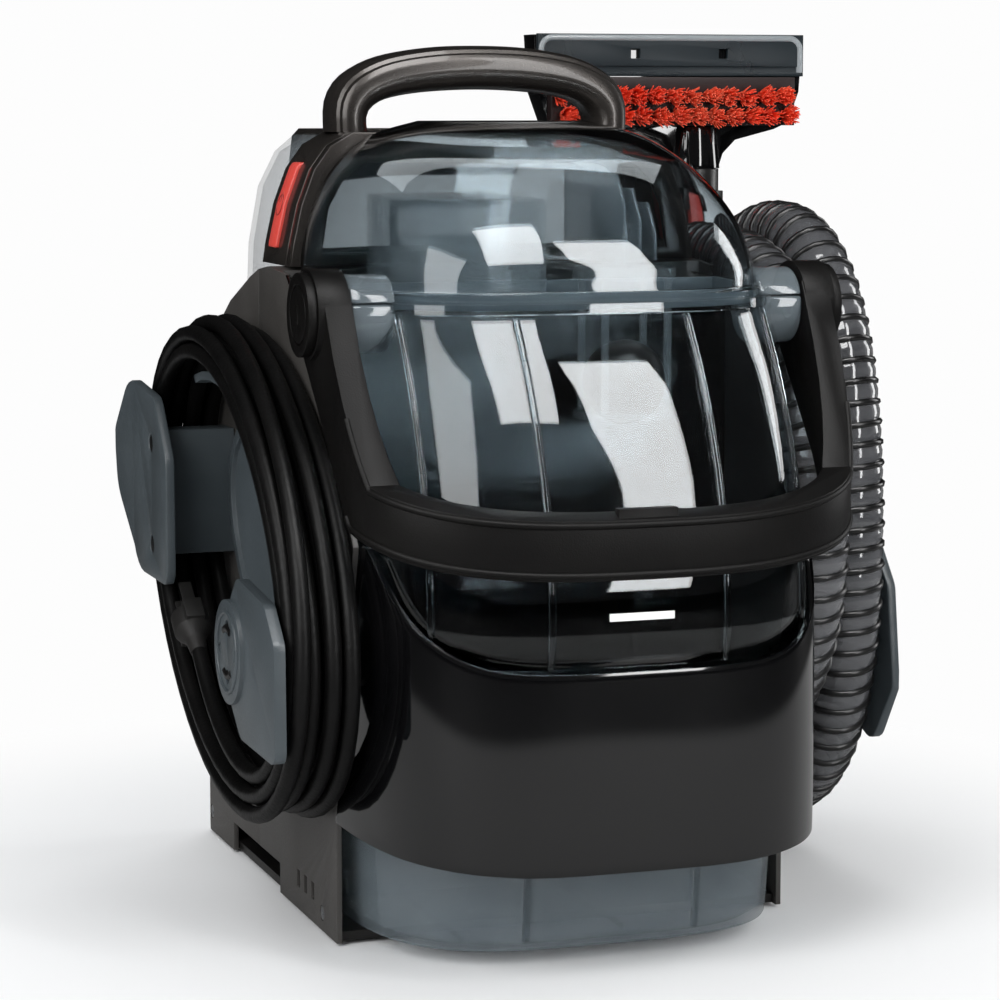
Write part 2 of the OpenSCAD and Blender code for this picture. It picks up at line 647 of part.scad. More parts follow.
module clean_tank_shell() {
  n = len(clean_levels);
  color(c_pale) difference() {
    loft([for (v = clean_levels) clean_ring(v, 0)]);
    loft(concat([clean_ring(clean_levels[0] + [tank_wall, 0, 0], tank_wall)],
      [for (i = [1:n - 2]) clean_ring(clean_levels[i], tank_wall)],
      [clean_ring(clean_levels[n - 1] - [tank_wall, 0, 0], tank_wall)]));
    // filler hole under the handle and outlet low in the front wall
    translate([0, 56, clean_z - 10]) cylinder(h = 20, r = 15, $fn = 32);
    rotate([90, 0, 0]) translate([0, valve_z, -clean_y0 - tank_wall - over])
      cylinder(h = tank_wall + 2 * over, r = 7, $fn = 32);
  }
}

// Handle over the tank's rear upper edge, with the filler cap moulded to it.
module clean_tank_handle() {
  color(c_metal) {
    side_prism([[clean_rear - 13, clean_z - 24], [clean_rear - 6.5, clean_z - 25],
      [clean_rear - 17, clean_z - 1], [clean_rear - 30, clean_z + 2.8], [50, clean_z + 2.8],
      [50, clean_z + clear], [clean_rear - 37, clean_z + clear], [clean_rear - 26, clean_z - 6]], -60, 60);
    translate([0, 56, clean_z - 6]) cylinder(h = 6.5, r = 15 - clear, $fn = 48);
  }
}

module clean_tank_nipple() {
  color(c_cord) rotate([90, 0, 0]) translate([0, valve_z, -clean_y0]) difference() {
    union() {
      cylinder(h = 14, r = 8, $fn = 48);
      translate([0, 0, -tank_wall - 2]) cylinder(h = tank_wall + 2, r = 7 - clear, $fn = 48);
    }
    translate([0, 0, -10]) cylinder(h = 30, r = 4, $fn = 48);
  }
}

// Socket behind the bay wall that takes the tank's nipple.
module valve_socket() {
  color(c_cord) rotate([90, 0, 0]) translate([0, valve_z, -bay_y + wall + clear]) difference() {
    cylinder(h = 16, r = 14, $fn = 48);
    translate([0, 0, -over]) cylinder(h = 13 + over, r = 8 + clear, $fn = 48);
    cylinder(h = 20, r = 3, $fn = 48);
  }
}

// ---- cord side ----
loop_y = -35;                      // middle, half sizes and tilt of the mean cord loop
loop_z = 160;
loop_a = 133;
loop_b = 90;
loop_tilt = 25;
loop_pitch = 8.4;                  // radial step of one loop
layer_pitch = 8.2;
layer_x = side_x + 5.4;            // centre of the layer next to the wall
cord_layers = 4;
lead_in = 0.2;                     // turns from the strain relief to the first loop
lead_out = 0.2;                    // turns from the last loop to the plug
lay_turns = (cord_loops - 0.2) / cord_layers;
wind_turns = lead_in + cord_layers * lay_turns + lead_out;
loop_rings = 24;
hook_y = -98;                      // axis of the release hook
hook_z = 130;

function ease(k) = let (c = min(max(k, 0), 1)) c * c * (3 - 2 * c);

function wind_r(t) = let (h = loop_pitch * lay_turns / 2, u = (t - lead_in) / lay_turns, j = floor(u))
  t < lead_in ? -32 + (32 - h) * (t / lead_in) * (2 - t / lead_in)
  : u < cord_layers ? (j % 2 == 0 ? -h + 2 * h * (u - j) : h - 2 * h * (u - j))
  : -h + (h - 26) * pow((u - cord_layers) * lay_turns / lead_out, 2);

function wind_x(t) = -layer_x - layer_pitch
  * (ease((t - lead_in - lay_turns + 0.25) * 2) + ease((t - lead_in - 2 * lay_turns + 0.25) * 2)
  + ease((t - lead_in - 3 * lay_turns + 0.25) * 2));

function loop_point(a, r) = let (u = (loop_a + r) * cos(a), v = (loop_b + r) * sin(a))
  [loop_y + u * cos(loop_tilt) - v * sin(loop_tilt), loop_z + u * sin(loop_tilt) + v * cos(loop_tilt)];

cord_path = [for (i = [0:round(wind_turns * loop_rings)]) let (t = i / loop_rings,
  p = loop_point(200 + 360 * t, wind_r(t))) [wind_x(t), p[0], p[1]]];
cord_start = cord_path[0];
cord_start_dir = (cord_path[0] - cord_path[1]) / norm(cord_path[0] - cord_path[1]);
cord_end = cord_path[len(cord_path) - 1];
cord_end_dir = (cord_end - cord_path[len(cord_path) - 2]) / norm(cord_end - cord_path[len(cord_path) - 2]);

// Turns z into the given direction, which lies in the y-z plane.
module aim(dir) {
  rotate([atan2(-dir[1], dir[2]), 0, 0]) children();
}

module power_cord() {
  sums = path_sums(cord_path);
  echo(cord_least_gap = least_gap(cord_path, sums, 300) - cord_d, cord_length = sums[len(sums) - 1]);
  tip = cord_end + cord_end_dir * cord_d;
  foot = cord_start + cord_start_dir * cord_d;
  pts = concat([foot], cord_path, [tip]);
  color(c_cord) loft(sweep_rings(pts, [for (p = pts) cord_d / 2], 6));
}

module strain_relief() {
  foot = cord_start + cord_start_dir * cord_d;
  color(c_cord) {
    translate(foot) aim(cord_start_dir) rotate_extrude($fn = 32) polygon([[0, 0], [4, 0], [4.6, 4], [4, 5],
      [4.6, 8], [4, 9], [4.7, 12], [4.4, 13], [4.9, 16], [4.9, 22], [0, 22]]);
    // foot of the relief on the side wall
    translate(foot + cord_start_dir * 15) aim(cord_start_dir)
      translate([0, -4.5, 0]) cube([layer_x - side_x - clear, 9, 7]);
  }
}

module power_plug() {
  at = cord_end + cord_end_dir * cord_d;
  color(c_cord) translate(at) aim(cord_end_dir) {
    rotate_extrude($fn = 32) polygon([[0, 0], [3.9, 0], [5, 8], [9, 14], [9, 24], [0, 24]]);
    translate([-4.5, -10.5, 14]) cube([9, 21, 12]);
  }
  color(c_steel) translate(at) aim(cord_end_dir) {
    for (s = [-1, 1]) translate([-3, s * 6.35 - 0.75, 26 - 0.01]) cube([6, 1.5, 14]);
  }
}

module oval(a, b, x0, x1) {
  side_prism([for (i = [0:47]) let (t = 360 * i / 48, u = a * cos(t), v = b * sin(t))
    [loop_y + u * cos(loop_tilt) - v * sin(loop_tilt), loop_z + u * sin(loop_tilt) + v * cos(loop_tilt)]],
    x0, x1);
}

// Oval pod on the side wall: a floor plate, a shroud arc over its front top and the hook's pivot.
module cord_pod() {
  wall_x = -side_x - clear;
  color(c_slate) {
    difference() {
      oval(90, 52, wall_x - 4, wall_x);
      oval(84, 46, wall_x - 4 - over, wall_x - 2);
      rod_x(wall_x - 6, wall_x + over, hook_y, hook_z, 21);
    }
    intersection() {
      difference() {
        oval(118, 74, wall_x - 24, wall_x);
        oval(114, 70, wall_x - 24 - over, wall_x + over);
      }
      side_prism([[loop_y, loop_z], [loop_y + 130, loop_z + 150], [loop_y - 150, loop_z + 150],
        [loop_y - 150, loop_z + 10]], -200, 0);
    }
    difference() {
      rod_x(-lip_x + 2 + clear, wall_x, hook_y, hook_z, 5);
      rod_x(-lip_x, wall_x - 20, hook_y, hook_z, 1.6);
    }
  }
}

lip_x = layer_x + 3 * layer_pitch + cord_d / 2 + 1.6;   // inner face of the hooks' lips

lip_screws = [156, 205];           // heights of the upper hook's screws

module upper_cord_hook() {
  color(c_slate) difference() {
    union() {
      translate([0, 0, 152]) linear_extrude(60) polygon([[-side_x - clear, 52], [-side_x - clear, 68],
        [-lip_x - 2, 68], [-lip_x - 2, 52]]);
      intersection() {
        linear_extrude(300) polygon([[-lip_x, 24], [-lip_x, 100], [-lip_x - 5, 121], [-lip_x - 9, 120],
          [-lip_x - 4.5, 99], [-lip_x - 4.5, 24]]);
        side_prism(round_corners([[28, 140, 8], [92, 140, 26], [118, 178, 30], [121, 206, 14],
          [104, 233, 12], [52, 228, 14], [28, 200, 14]]), -200, 0);
      }
    }
    for (z = lip_screws) {
      rod_x(-lip_x - 20, 0, 60, z, 2.2, 32);
      rod_x(-lip_x - 20, -lip_x - 2.5, 60, z, 4.5, 32);
    }
  }
}

module cord_hook_screws() {
  color(c_steel) for (z = lip_screws) {
    rod_x(-lip_x - 2.2, -side_x - clear, 60, z, 1.9, 32);
    rod_x(-lip_x - 4, -lip_x - 2.5, 60, z, 4, 32);
  }
}

module cord_release_hook() {
  color(c_slate) difference() {
    union() {
      rod_x(-lip_x - 5, -side_x - 2 * clear, hook_y, hook_z, 20, 64);
      rod_x(-lip_x - 7, -lip_x - 4.9, hook_y, hook_z, 23, 64);
      side_prism(round_corners([[hook_y + 20, hook_z + 6, 12], [hook_y - 10, hook_z + 34, 8],
        [hook_y - 56, hook_z + 29, 8], [hook_y - 72, hook_z + 14, 6], [hook_y - 73, hook_z - 37, 7],
        [hook_y - 14, hook_z - 36, 12], [hook_y + 14, hook_z - 14, 12]]), -lip_x - 5, -lip_x);
    }
    rod_x(-lip_x + 2, 0, hook_y, hook_z, 5 + run_gap);
    for (z = [-11, 11]) rod_x(-lip_x - 8, -lip_x - 4, hook_y, hook_z + z, 3.2, 32);
    for (s = [-1, 1]) side_prism([[hook_y + s * 12, hook_z - 3], [hook_y + s * 12, hook_z + 3],
      [hook_y + s * 17, hook_z]], -lip_x - 9, -lip_x - 6.2);
  }
}

// ---- hose side ----
hose_xo = side_x + 53;             // centre of the hose in the outer and in the inner layer
hose_xi = side_x + hose_d / 2 + 0.8;
hose_zc = 175.5;
hose_sweep = 690;                  // degrees wound from the grip to the port
hose_rise = 20;                    // straight run up to the grip's cuff
tool_gx = hose_xo;                 // axis of the grip
tool_gy = 121;

function hose_point(a) = let (k = ease((a - 300) / 180), yc = 13 - 22 * k, ha = 90 + 18 * k,
    hb = 136.5 - 24.5 * k, r = a < 360 ? 18 * (1 - a / 180) : -18 + 30 * (a - 360) / 360)
  [hose_xo + (hose_xi - hose_xo) * k, yc + (ha + r) * sgn_pow(cos(a), 2 / 2.3),
    hose_zc - (hb + r) * sgn_pow(sin(a), 2 / 2.3)];

hose_step = 5;
hose_path = concat([[hose_xo, tool_gy, hose_zc + hose_rise], [hose_xo, tool_gy, hose_zc + hose_rise / 2]],
  [for (a = [0:hose_step:hose_sweep]) hose_point(a)]);
hose_end = hose_path[len(hose_path) - 1];
hose_end_dir = (hose_end - hose_path[len(hose_path) - 2]) / norm(hose_end - hose_path[len(hose_path) - 2]);
elbow_run = 27.5;                  // from the hose's end to the middle of the elbow
elbow_at = hose_end + hose_end_dir * elbow_run;
port_y = elbow_at[1];
port_z = elbow_at[2];
port_r = 15.2;                      // outside of the port and its elbow
port_hole = 12;

function at_length(pts, sums, s, i = 1) = i >= len(pts) - 1 || sums[i] >= s
  ? pts[i - 1] + (pts[i] - pts[i - 1]) * (s - sums[i - 1]) / (sums[i] - sums[i - 1])
  : at_length(pts, sums, s, i + 1);

module flex_hose() {
  sums = path_sums(hose_path);
  total = sums[len(sums) - 1];
  echo(hose_least_gap = least_gap(hose_path, sums, 150) - hose_d, hose_length = total);
  rings = 2 * hose_ribs + 1;
  spots = [for (i = [0:rings - 1]) at_length(hose_path, sums, total * i / (rings - 1))];
  outer = sweep_rings(spots, [for (i = [0:rings - 1]) hose_d / 2 - (i % 2 == 0 ? 2 : 0)], 8);
  bore_n = 60;
  inner_spots = [for (i = [0:bore_n]) spots[round((rings - 1) * i / bore_n)]];
  inner = sweep_rings(inner_spots, [for (p = inner_spots) hose_bore / 2], 8);
  color(c_cord) loft_loop(concat(outer, [for (i = [bore_n:-1:0]) inner[i]]));
}

rack_x = side_x + clear;
hose_lip_x = hose_xo + hose_d / 2 + 1.6;

// Wall plate of the hose rack with its two stems, inside the hose's turns.
module hose_rack() {
  color(c_slate) {
    side_prism(round_corners([[-86, 120, 6], [-56, 92, 12], [52, 92, 24], [58, 200, 10], [58, 258, 14],
      [-20, 262, 24], [-86, 236, 24]]), rack_x, rack_x + 4);
    side_prism(round_corners([[-45, 99, 5], [-30, 99, 5], [-30, 150, 8], [-54, 150, 8], [-54, 128, 4]]),
      rack_x + 3.9, hose_lip_x - clear);
    side_prism(round_corners([[36, 204, 8], [58, 204, 8], [58, 252, 8], [36, 252, 8]]),
      rack_x + 3.9, hose_lip_x - clear);
  }
}

// Two outer lips that keep the hose on its rack; the rear one reaches back to the tool clip.
module hose_lip() {
  color(c_slate) {
    intersection() {
      linear_extrude(300) polygon([[hose_lip_x, -24], [hose_lip_x, -66], [hose_lip_x + 2, -84],
        [hose_lip_x + 6, -83], [hose_lip_x + 5, -64], [hose_lip_x + 5, -24]]);
      side_prism(round_corners([[-66, 62, 8], [-40, 72, 10], [-24, 110, 10], [-26, 158, 10], [-60, 164, 10],
        [-78, 140, 10], [-84, 92, 8]]), 0, 300);
    }
    side_prism(round_corners([[30, 198, 10], [100, 205, 10], [100, 222, 2], [130, 222, 6],
      [130, 250, 6], [104, 252, 4], [92, 290, 12], [40, 290, 12], [30, 260, 10]]),
      hose_lip_x, hose_lip_x + 5);
  }
}

grip_r = 14;

// Open clip on the rear lip that holds the tool's grip.
module tool_clip() {
  color(c_slate) translate([tool_gx, tool_gy, 226]) difference() {
    union() {
      cylinder(h = 20, r = grip_r + 3.2, $fn = 64);
      translate([grip_r, -4, 0]) cube([hose_lip_x - clear - tool_gx - grip_r, 8, 20]);
    }
    translate([0, 0, -over]) cylinder(h = 22, r = grip_r + 0.4, $fn = 64);
    translate([-9, 4, -over]) cube([18, 30, 22]);
  }
}

// Elbow on the side wall that the hose's lower end plugs into.
module hose_port() {
  color(c_slate) difference() {
    union() {
      rod_x(rack_x, hose_xi, port_y, port_z, port_r);
      translate(elbow_at) sphere(r = port_r, $fn = 48);
      translate(elbow_at) aim(hose_end_dir * -1) cylinder(h = elbow_run - 12, r = port_r, $fn = 48);
      rod_x(in_x - 6, rack_x + 0.01, port_y, port_z, port_hole - clear);
    }
    rod_x(in_x - 8, hose_xi, port_y, port_z, 9.5);
    translate(elbow_at) sphere(r = 9.5, $fn = 48);
    translate(elbow_at) aim(hose_end_dir * -1) cylinder(h = elbow_run + 10, r = 9.5, $fn = 48);
  }
}

// Smooth cuffs at both ends of the hose.
module hose_cuffs() {
  color(c_cord) {
    translate([hose_xo, tool_gy, hose_zc + hose_rise + clear]) difference() {
      cylinder(h = 16, r1 = hose_d / 2 - 1, r2 = grip_r + 1.5, $fn = 48);
      translate([0, 0, -over]) cylinder(h = 20, r = hose_bore / 2 - 3, $fn = 48);
    }
    translate(hose_end + hose_end_dir * clear) aim(hose_end_dir) difference() {
      cylinder(h = 11.4, r1 = hose_d / 2 - 0.5, r2 = port_r, $fn = 48);
      translate([0, 0, -over]) cylinder(h = 20, r = 10, $fn = 48);
    }
  }
}

grip_z0 = hose_zc + hose_rise + 16 + 2 * clear;
grip_z1 = 333;
trigger_y = tool_gy - grip_r - 2;
trigger_z = 316;

module grip_body() {
  color(c_cord) difference() {
    union() {
      translate([tool_gx, tool_gy, 0]) rotate_extrude($fn = 64) polygon([[0, grip_z0], [grip_r - 1, grip_z0],
        [grip_r - 1, 222], [grip_r, 226], [grip_r, 246], [grip_r - 2, 262], [grip_r - 1, 285],
        [grip_r, 305], [grip_r, grip_z1], [grip_r - 4, grip_z1], [grip_r - 4, grip_z1 + 18], [0, grip_z1 + 18]]);
      // cheeks that carry the trigger's pin
      for (s = [-1, 1]) translate([tool_gx + s * 7 - 2, trigger_y - 5, trigger_z - 6]) cube([4, 20, 12]);
    }
    translate([tool_gx, tool_gy, grip_z0 - over]) cylinder(h = 200, r = 8, $fn = 48);
    box(tool_gx - 5, tool_gx + 5, tool_gy - grip_r - 6, tool_gy - grip_r + 4.5, 262, trigger_z + 8);
    rod_x(tool_gx - 12, tool_gx + 12, trigger_y, trigger_z, 1.6, 32);
  }
}

module spray_trigger() {
  color(c_red) {
    side_prism([[trigger_y + 2.6, trigger_z + 4], [trigger_y - 2.6, trigger_z + 4],
      [trigger_y - 7, trigger_z - 18], [trigger_y - 9, 276], [trigger_y - 12, 268], [trigger_y - 8, 266],
      [trigger_y - 4, 274], [trigger_y - 1, trigger_z - 14]], tool_gx - 4.5, tool_gx + 4.5);
    rod_x(tool_gx - 8.9, tool_gx + 8.9, trigger_y, trigger_z, 1.6 - run_gap, 32);
  }
}

// ---- hand tool ----
tool_cx = tool_gx - 15;            // middle of the nozzle
tool_top = 402;
tool_y0 = tool_gy - 6;

module tool_body() {
  x0 = tool_cx - tool_w / 2;
  x1 = tool_cx + tool_w / 2;
  color(c_gloss) difference() {
    union() {
      front_prism([[tool_gx - 13, grip_z1 + 2], [tool_gx + 13, grip_z1 + 2], [tool_gx + 15, 341],
        [tool_gx + 22, 348], [x1 - 16, 353.5], [x1 - 8, 357], [x1 - 2, 373], [x1, tool_top],
        [x0, tool_top], [x0 + 2, 373], [x0 + 8, 357], [x0 + 18, 354], [tool_gx - 40, 353],
        [tool_gx - 22, 347], [tool_gx - 15, 341]], tool_y0, tool_y0 + 16);
      translate([tool_gx, tool_gy, grip_z1 + clear]) cylinder(h = 21.5, r1 = grip_r + 0.5, r2 = grip_r - 1.5, $fn = 48);
    }
    box(x0 + 5, x1 - 5, tool_y0 + 4, tool_y0 + 12, 384, tool_top + over);
    translate([tool_gx, tool_gy, grip_z1 - over]) cylinder(h = 20 + over, r = grip_r - 4 + clear, $fn = 48);
  }
}

module nozzle_window() {
  x0 = tool_cx - tool_w / 2;
  color(c_clear) difference() {
    box(x0 + 1, x0 + tool_w - 1, tool_y0 - clear - 3, tool_y0 - clear, 381, tool_top + 0.5);
    for (x = [x0 + 52, x0 + 101]) box(x, x + 5, tool_y0 - 5, tool_y0 + over, 390, 395);
    box(x0 + 4, x0 + tool_w - 4, tool_y0 - 5, tool_y0 - clear - 2.2, 383, 386);
  }
}

module brush_block() {
  x0 = tool_cx - tool_w / 2;
  color(c_gloss) difference() {
    box(x0 + 7, x0 + tool_w - 7, tool_y0 - clear - 6, tool_y0 - clear, 355.5, 380.5);
    for (z = tuft_z) for (i = [0:tufts - 1]) translate([tuft_at(i, z), tool_y0 - clear - 6.5, z])
      rotate([-90, 0, 0]) cylinder(h = 4.5, r = tuft_r + 0.1, $fn = 24);
  }
}

tuft_z = [360.5, 370.5];
tuft_r = 2.9;
function tuft_at(i, z) = tool_cx - tool_w / 2 + 12 + (z == tuft_z[0] ? 3 : 0)
  + (tool_w - 27) * i / (tufts - 1);

module bristle_tufts() {
  color(c_tuft) for (z = tuft_z) for (i = [0:tufts - 1])
    translate([tuft_at(i, z), tool_y0 - clear - 2.3, z]) rotate([90, 0, 0])
      cylinder(h = 14, r = tuft_r, $fn = 24);
}

module tool_latch() {
  color(c_red) translate([tool_gx, tool_gy, grip_z1 + 8]) rotate([-90, 0, 0])
    translate([0, 0, grip_r + 0.6]) cylinder(h = 2.4, r = 4.5, $fn = 32);
}

// ---- inside the machine ----
module exhaust_grille() {
  color(c_cord) difference() {
    box(-58 + clear, 58 - clear, rear_y - wall, rear_y, 32 + clear, 92 - clear);
    for (i = [0:8]) box(-52, 52, rear_y - wall - over, rear_y + over, 36.5 + i * 6, 39.5 + i * 6);
  }
}

fan_z = pan_top + 76;
can_z0 = pan_top + 4 + clear;

// Motor can with its open fan chamber on top.
module motor_housing() {
  color(c_cord) translate([motor_x, motor_y, 0]) difference() {
    translate([0, 0, can_z0]) cylinder(h = fan_z + 26 - can_z0, r = motor_r, $fn = 96);
    translate([0, 0, can_z0 + 3]) cylinder(h = 62, r = motor_r - 4, $fn = 96);
    translate([0, 0, fan_z - 4]) cylinder(h = 27, r = motor_r - 3, $fn = 96);
    translate([0, 0, can_z0 - over]) cylinder(h = 6, r = 5 + run_gap, $fn = 48);
    translate([0, 0, fan_z - 12]) cylinder(h = 20, r = 5 + run_gap, $fn = 48);
    translate([0, 0, fan_z]) cylinder(h = 40, r = 20, $fn = 48);
    for (a = [0:45:315]) rotate(a) translate([0, -5, can_z0 + 12]) cube([80, 10, 40]);
  }
}

module motor_windings() {
  color([0.72, 0.42, 0.2]) translate([motor_x, motor_y, can_z0 + 3]) {
    difference() {
      cylinder(h = 52, r = motor_r - 4 - clear, $fn = 96);
      translate([0, 0, -over]) cylinder(h = 54, r = 26, $fn = 48);
      for (a = [0:45:315]) rotate(a + 22.5) translate([22, -7, -over]) cube([12, 14, 54]);
    }
  }
}

module motor_shaft() {
  color(c_steel) translate([motor_x, motor_y, 0]) {
    translate([0, 0, can_z0 + 0.5]) cylinder(h = fan_z + 16 - can_z0, r = 5, $fn = 48);
    translate([0, 0, can_z0 + 8]) cylinder(h = 44, r = 24, $fn = 64);
  }
}

// Backward-curved blades between two discs.
module fan_impeller() {
  color([0.8, 0.8, 0.82]) translate([motor_x, motor_y, fan_z - 2]) difference() {
    union() {
      cylinder(h = 1.6, r = fan_r, $fn = 64);
      cylinder(h = 14, r = 8, $fn = 48);
      for (b = [0:fan_blades - 1]) rotate(360 * b / fan_blades) translate([0, 0, 1.5]) linear_extrude(12)
        polygon(concat([for (i = [0:8]) blade_point(i / 8, 0)], [for (i = [8:-1:0]) blade_point(i / 8, 1.4)]));
      translate([0, 0, 13.4]) difference() {
        cylinder(h = 1.6, r = fan_r, $fn = 64);
        translate([0, 0, -over]) cylinder(h = 4, r = 20, $fn = 64);
      }
    }
    translate([0, 0, -over]) cylinder(h = 20, r = 5, $fn = 48);
  }
}

function blade_point(k, t) = let (r = 12 + (fan_r - 12) * k, a = 70 * k) [r * cos(a) - t * sin(a), r * sin(a) + t * cos(a)];

pump_x = 70;

module spray_pump() {
  color(c_steel) {
    box(pump_x - 15, pump_x + 15, -40, 6, pan_top + clear, pan_top + 34);
    translate([pump_x, 6, pan_top + 18]) rotate([-90, 0, 0]) cylinder(h = 30, r = 13, $fn = 48);
  }
  color(c_cord) for (x = [pump_x - 7, pump_x + 7]) translate([x, -17, pan_top + 34 - 0.01]) cylinder(h = 8, r = 3, $fn = 32);
}

valve_y = bay_y - wall - clear - 16;   // front end of the valve's socket

// Route of the water tube from the pump up to the valve's socket.
tube_path = [[pump_x + 7, -17, pan_top + 42 + clear], [pump_x + 7, -17, 70], [pump_x + 6, -16, 100],
  [66, -14, 128], [40, -12, 146], [14, -6, valve_z], [2, -4, valve_z], [0, -2, valve_z], [0, 0, valve_z],
  [0, valve_y - clear, valve_z]];

module pump_tubes() {
  color(c_pale) loft(sweep_rings(tube_path, [for (p = tube_path) 3.5], 8, [0.3, 1, 0.2]));
}

// Air duct from the roof port down and over the fan chamber's inlet.
module suction_duct() {
  duct_z = fan_z + 26 + clear;
  color(c_cord) difference() {
    union() {
      box(port_x - 16, port_x + 16, -55.5, -38.5, duct_z, roof_z - wall - clear);
      box(port_x - 16, motor_x + 24, -55.5, motor_y + 24, duct_z, duct_z + 14);
    }
    box(port_x - 13.5, port_x + 13.5, -53, -41, duct_z + 2.5, 300);
    box(port_x - 13.5, motor_x + 21.5, -53, motor_y + 21.5, duct_z + 2.5, duct_z + 11.5);
    translate([motor_x, motor_y, duct_z - over]) cylinder(h = 5, r = 18, $fn = 48);
  }
}

base_pan();
rubber_feet();
front_housing();
rear_housing();
gloss_cover();
housing_screws();
arch_frame();
carry_handle();
handle_underside();
power_button();
spray_button();
button_seats();
cord_pod();
upper_cord_hook();
cord_hook_screws();
cord_release_hook();
strain_relief();
power_cord();
power_plug();
hose_rack();
hose_lip();
tool_clip();
hose_port();
flex_hose();
hose_cuffs();
grip_body();
spray_trigger();
tool_body();
nozzle_window();
brush_block();
bristle_tufts();
tool_latch();
tank_shell();
bail_pivots();
tank_level_bar();
lid_dome();
lid_seal();
separator_box();
float_guide();
float_ball();
bail();
hub_caps();
clean_tank_shell();
clean_tank_handle();
clean_tank_nipple();
valve_socket();
exhaust_grille();
motor_housing();
motor_windings();
motor_shaft();
fan_impeller();
spray_pump();
pump_tubes();
suction_duct();
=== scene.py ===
"""Looks of a portable spot extractor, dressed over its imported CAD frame."""

from __future__ import annotations

import json
import logging
import math
import random
from dataclasses import dataclass
from enum import Enum
from typing import Iterable, Sequence

import bmesh
import bpy
from mathutils import Matrix, Vector

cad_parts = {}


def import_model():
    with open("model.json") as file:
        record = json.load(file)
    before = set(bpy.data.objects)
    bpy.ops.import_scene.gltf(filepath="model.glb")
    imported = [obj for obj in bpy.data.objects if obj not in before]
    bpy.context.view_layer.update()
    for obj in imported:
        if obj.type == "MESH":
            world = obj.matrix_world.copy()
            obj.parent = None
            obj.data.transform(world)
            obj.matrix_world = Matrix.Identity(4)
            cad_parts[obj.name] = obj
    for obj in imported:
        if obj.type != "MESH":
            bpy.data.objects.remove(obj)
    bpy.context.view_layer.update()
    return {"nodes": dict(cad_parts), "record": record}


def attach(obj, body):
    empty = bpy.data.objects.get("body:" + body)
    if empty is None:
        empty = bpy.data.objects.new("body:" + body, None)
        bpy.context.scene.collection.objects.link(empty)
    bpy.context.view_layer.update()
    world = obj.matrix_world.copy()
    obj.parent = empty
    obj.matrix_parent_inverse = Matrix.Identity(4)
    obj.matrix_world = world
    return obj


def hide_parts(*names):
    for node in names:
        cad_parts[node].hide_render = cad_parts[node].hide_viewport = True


logging.basicConfig(level=logging.INFO, format="%(message)s")
LOG = logging.getLogger("spot_extractor")

MM = 0.001
Point = tuple[float, float, float]
Pair = tuple[float, float]


# ---- colours and materials ----

# broad clouds of colour in a metre, and where they start and end in the noise
MOTTLE_SCALE = 28.0
MOTTLE_BAND = (0.35, 0.7)
COAT_ROUGHNESS = 0.04
LEAST_ROUGHNESS = 0.02
# a grain's pits are this share of its pitch deep
GRAIN_DEPTH = 0.4
# flow marks in a clear moulding: how many in a metre and how deep
FLOW_SCALE = 14.0
FLOW_DEPTH = 0.4 * MM


def linear(code: str) -> tuple[float, float, float, float]:
    """Turns an sRGB hex value into linear colour.

    Args:
        code: six hex digits after a hash sign.

    Returns:
        Red, green, blue and an alpha of 1, all linear.
    """
    parts = [int(code[i : i + 2], 16) / 255 for i in (1, 3, 5)]
    return tuple(c / 12.92 if c <= 0.04045 else ((c + 0.055) / 1.055) ** 2.4 for c in parts) + (1.0,)


def add_node(
    tree: bpy.types.NodeTree, kind: str, settings: dict | None = None, **inputs: object
) -> bpy.types.Node:
    """Adds a shader node with its settings, values and links.

    Args:
        tree: the material's node tree.
        kind: the node's type name without its ShaderNode prefix.
        settings: properties of the node itself.
        **inputs: a value or a source socket for each input. An input's name has its spaces written as
            underscores, and i0 or i1 is the input of that number.

    Returns:
        The new node.
    """
    node = tree.nodes.new("ShaderNode" + kind)
    for name, value in (settings or {}).items():
        setattr(node, name, value)
    for name, value in inputs.items():
        numbered = name[0] == "i" and name[1:].isdigit()
        socket = node.inputs[int(name[1:]) if numbered else name.replace("_", " ")]
        if isinstance(value, bpy.types.NodeSocket):
            tree.links.new(value, socket)
        else:
            socket.default_value = value
    return node


class Grain(Enum):
    """How a surface was textured in its making."""

    POLISHED = "polished mould"
    SPARK = "spark-eroded mould"
    BRUSHED = "brushed"
    PRINTED = "printed or sprayed"


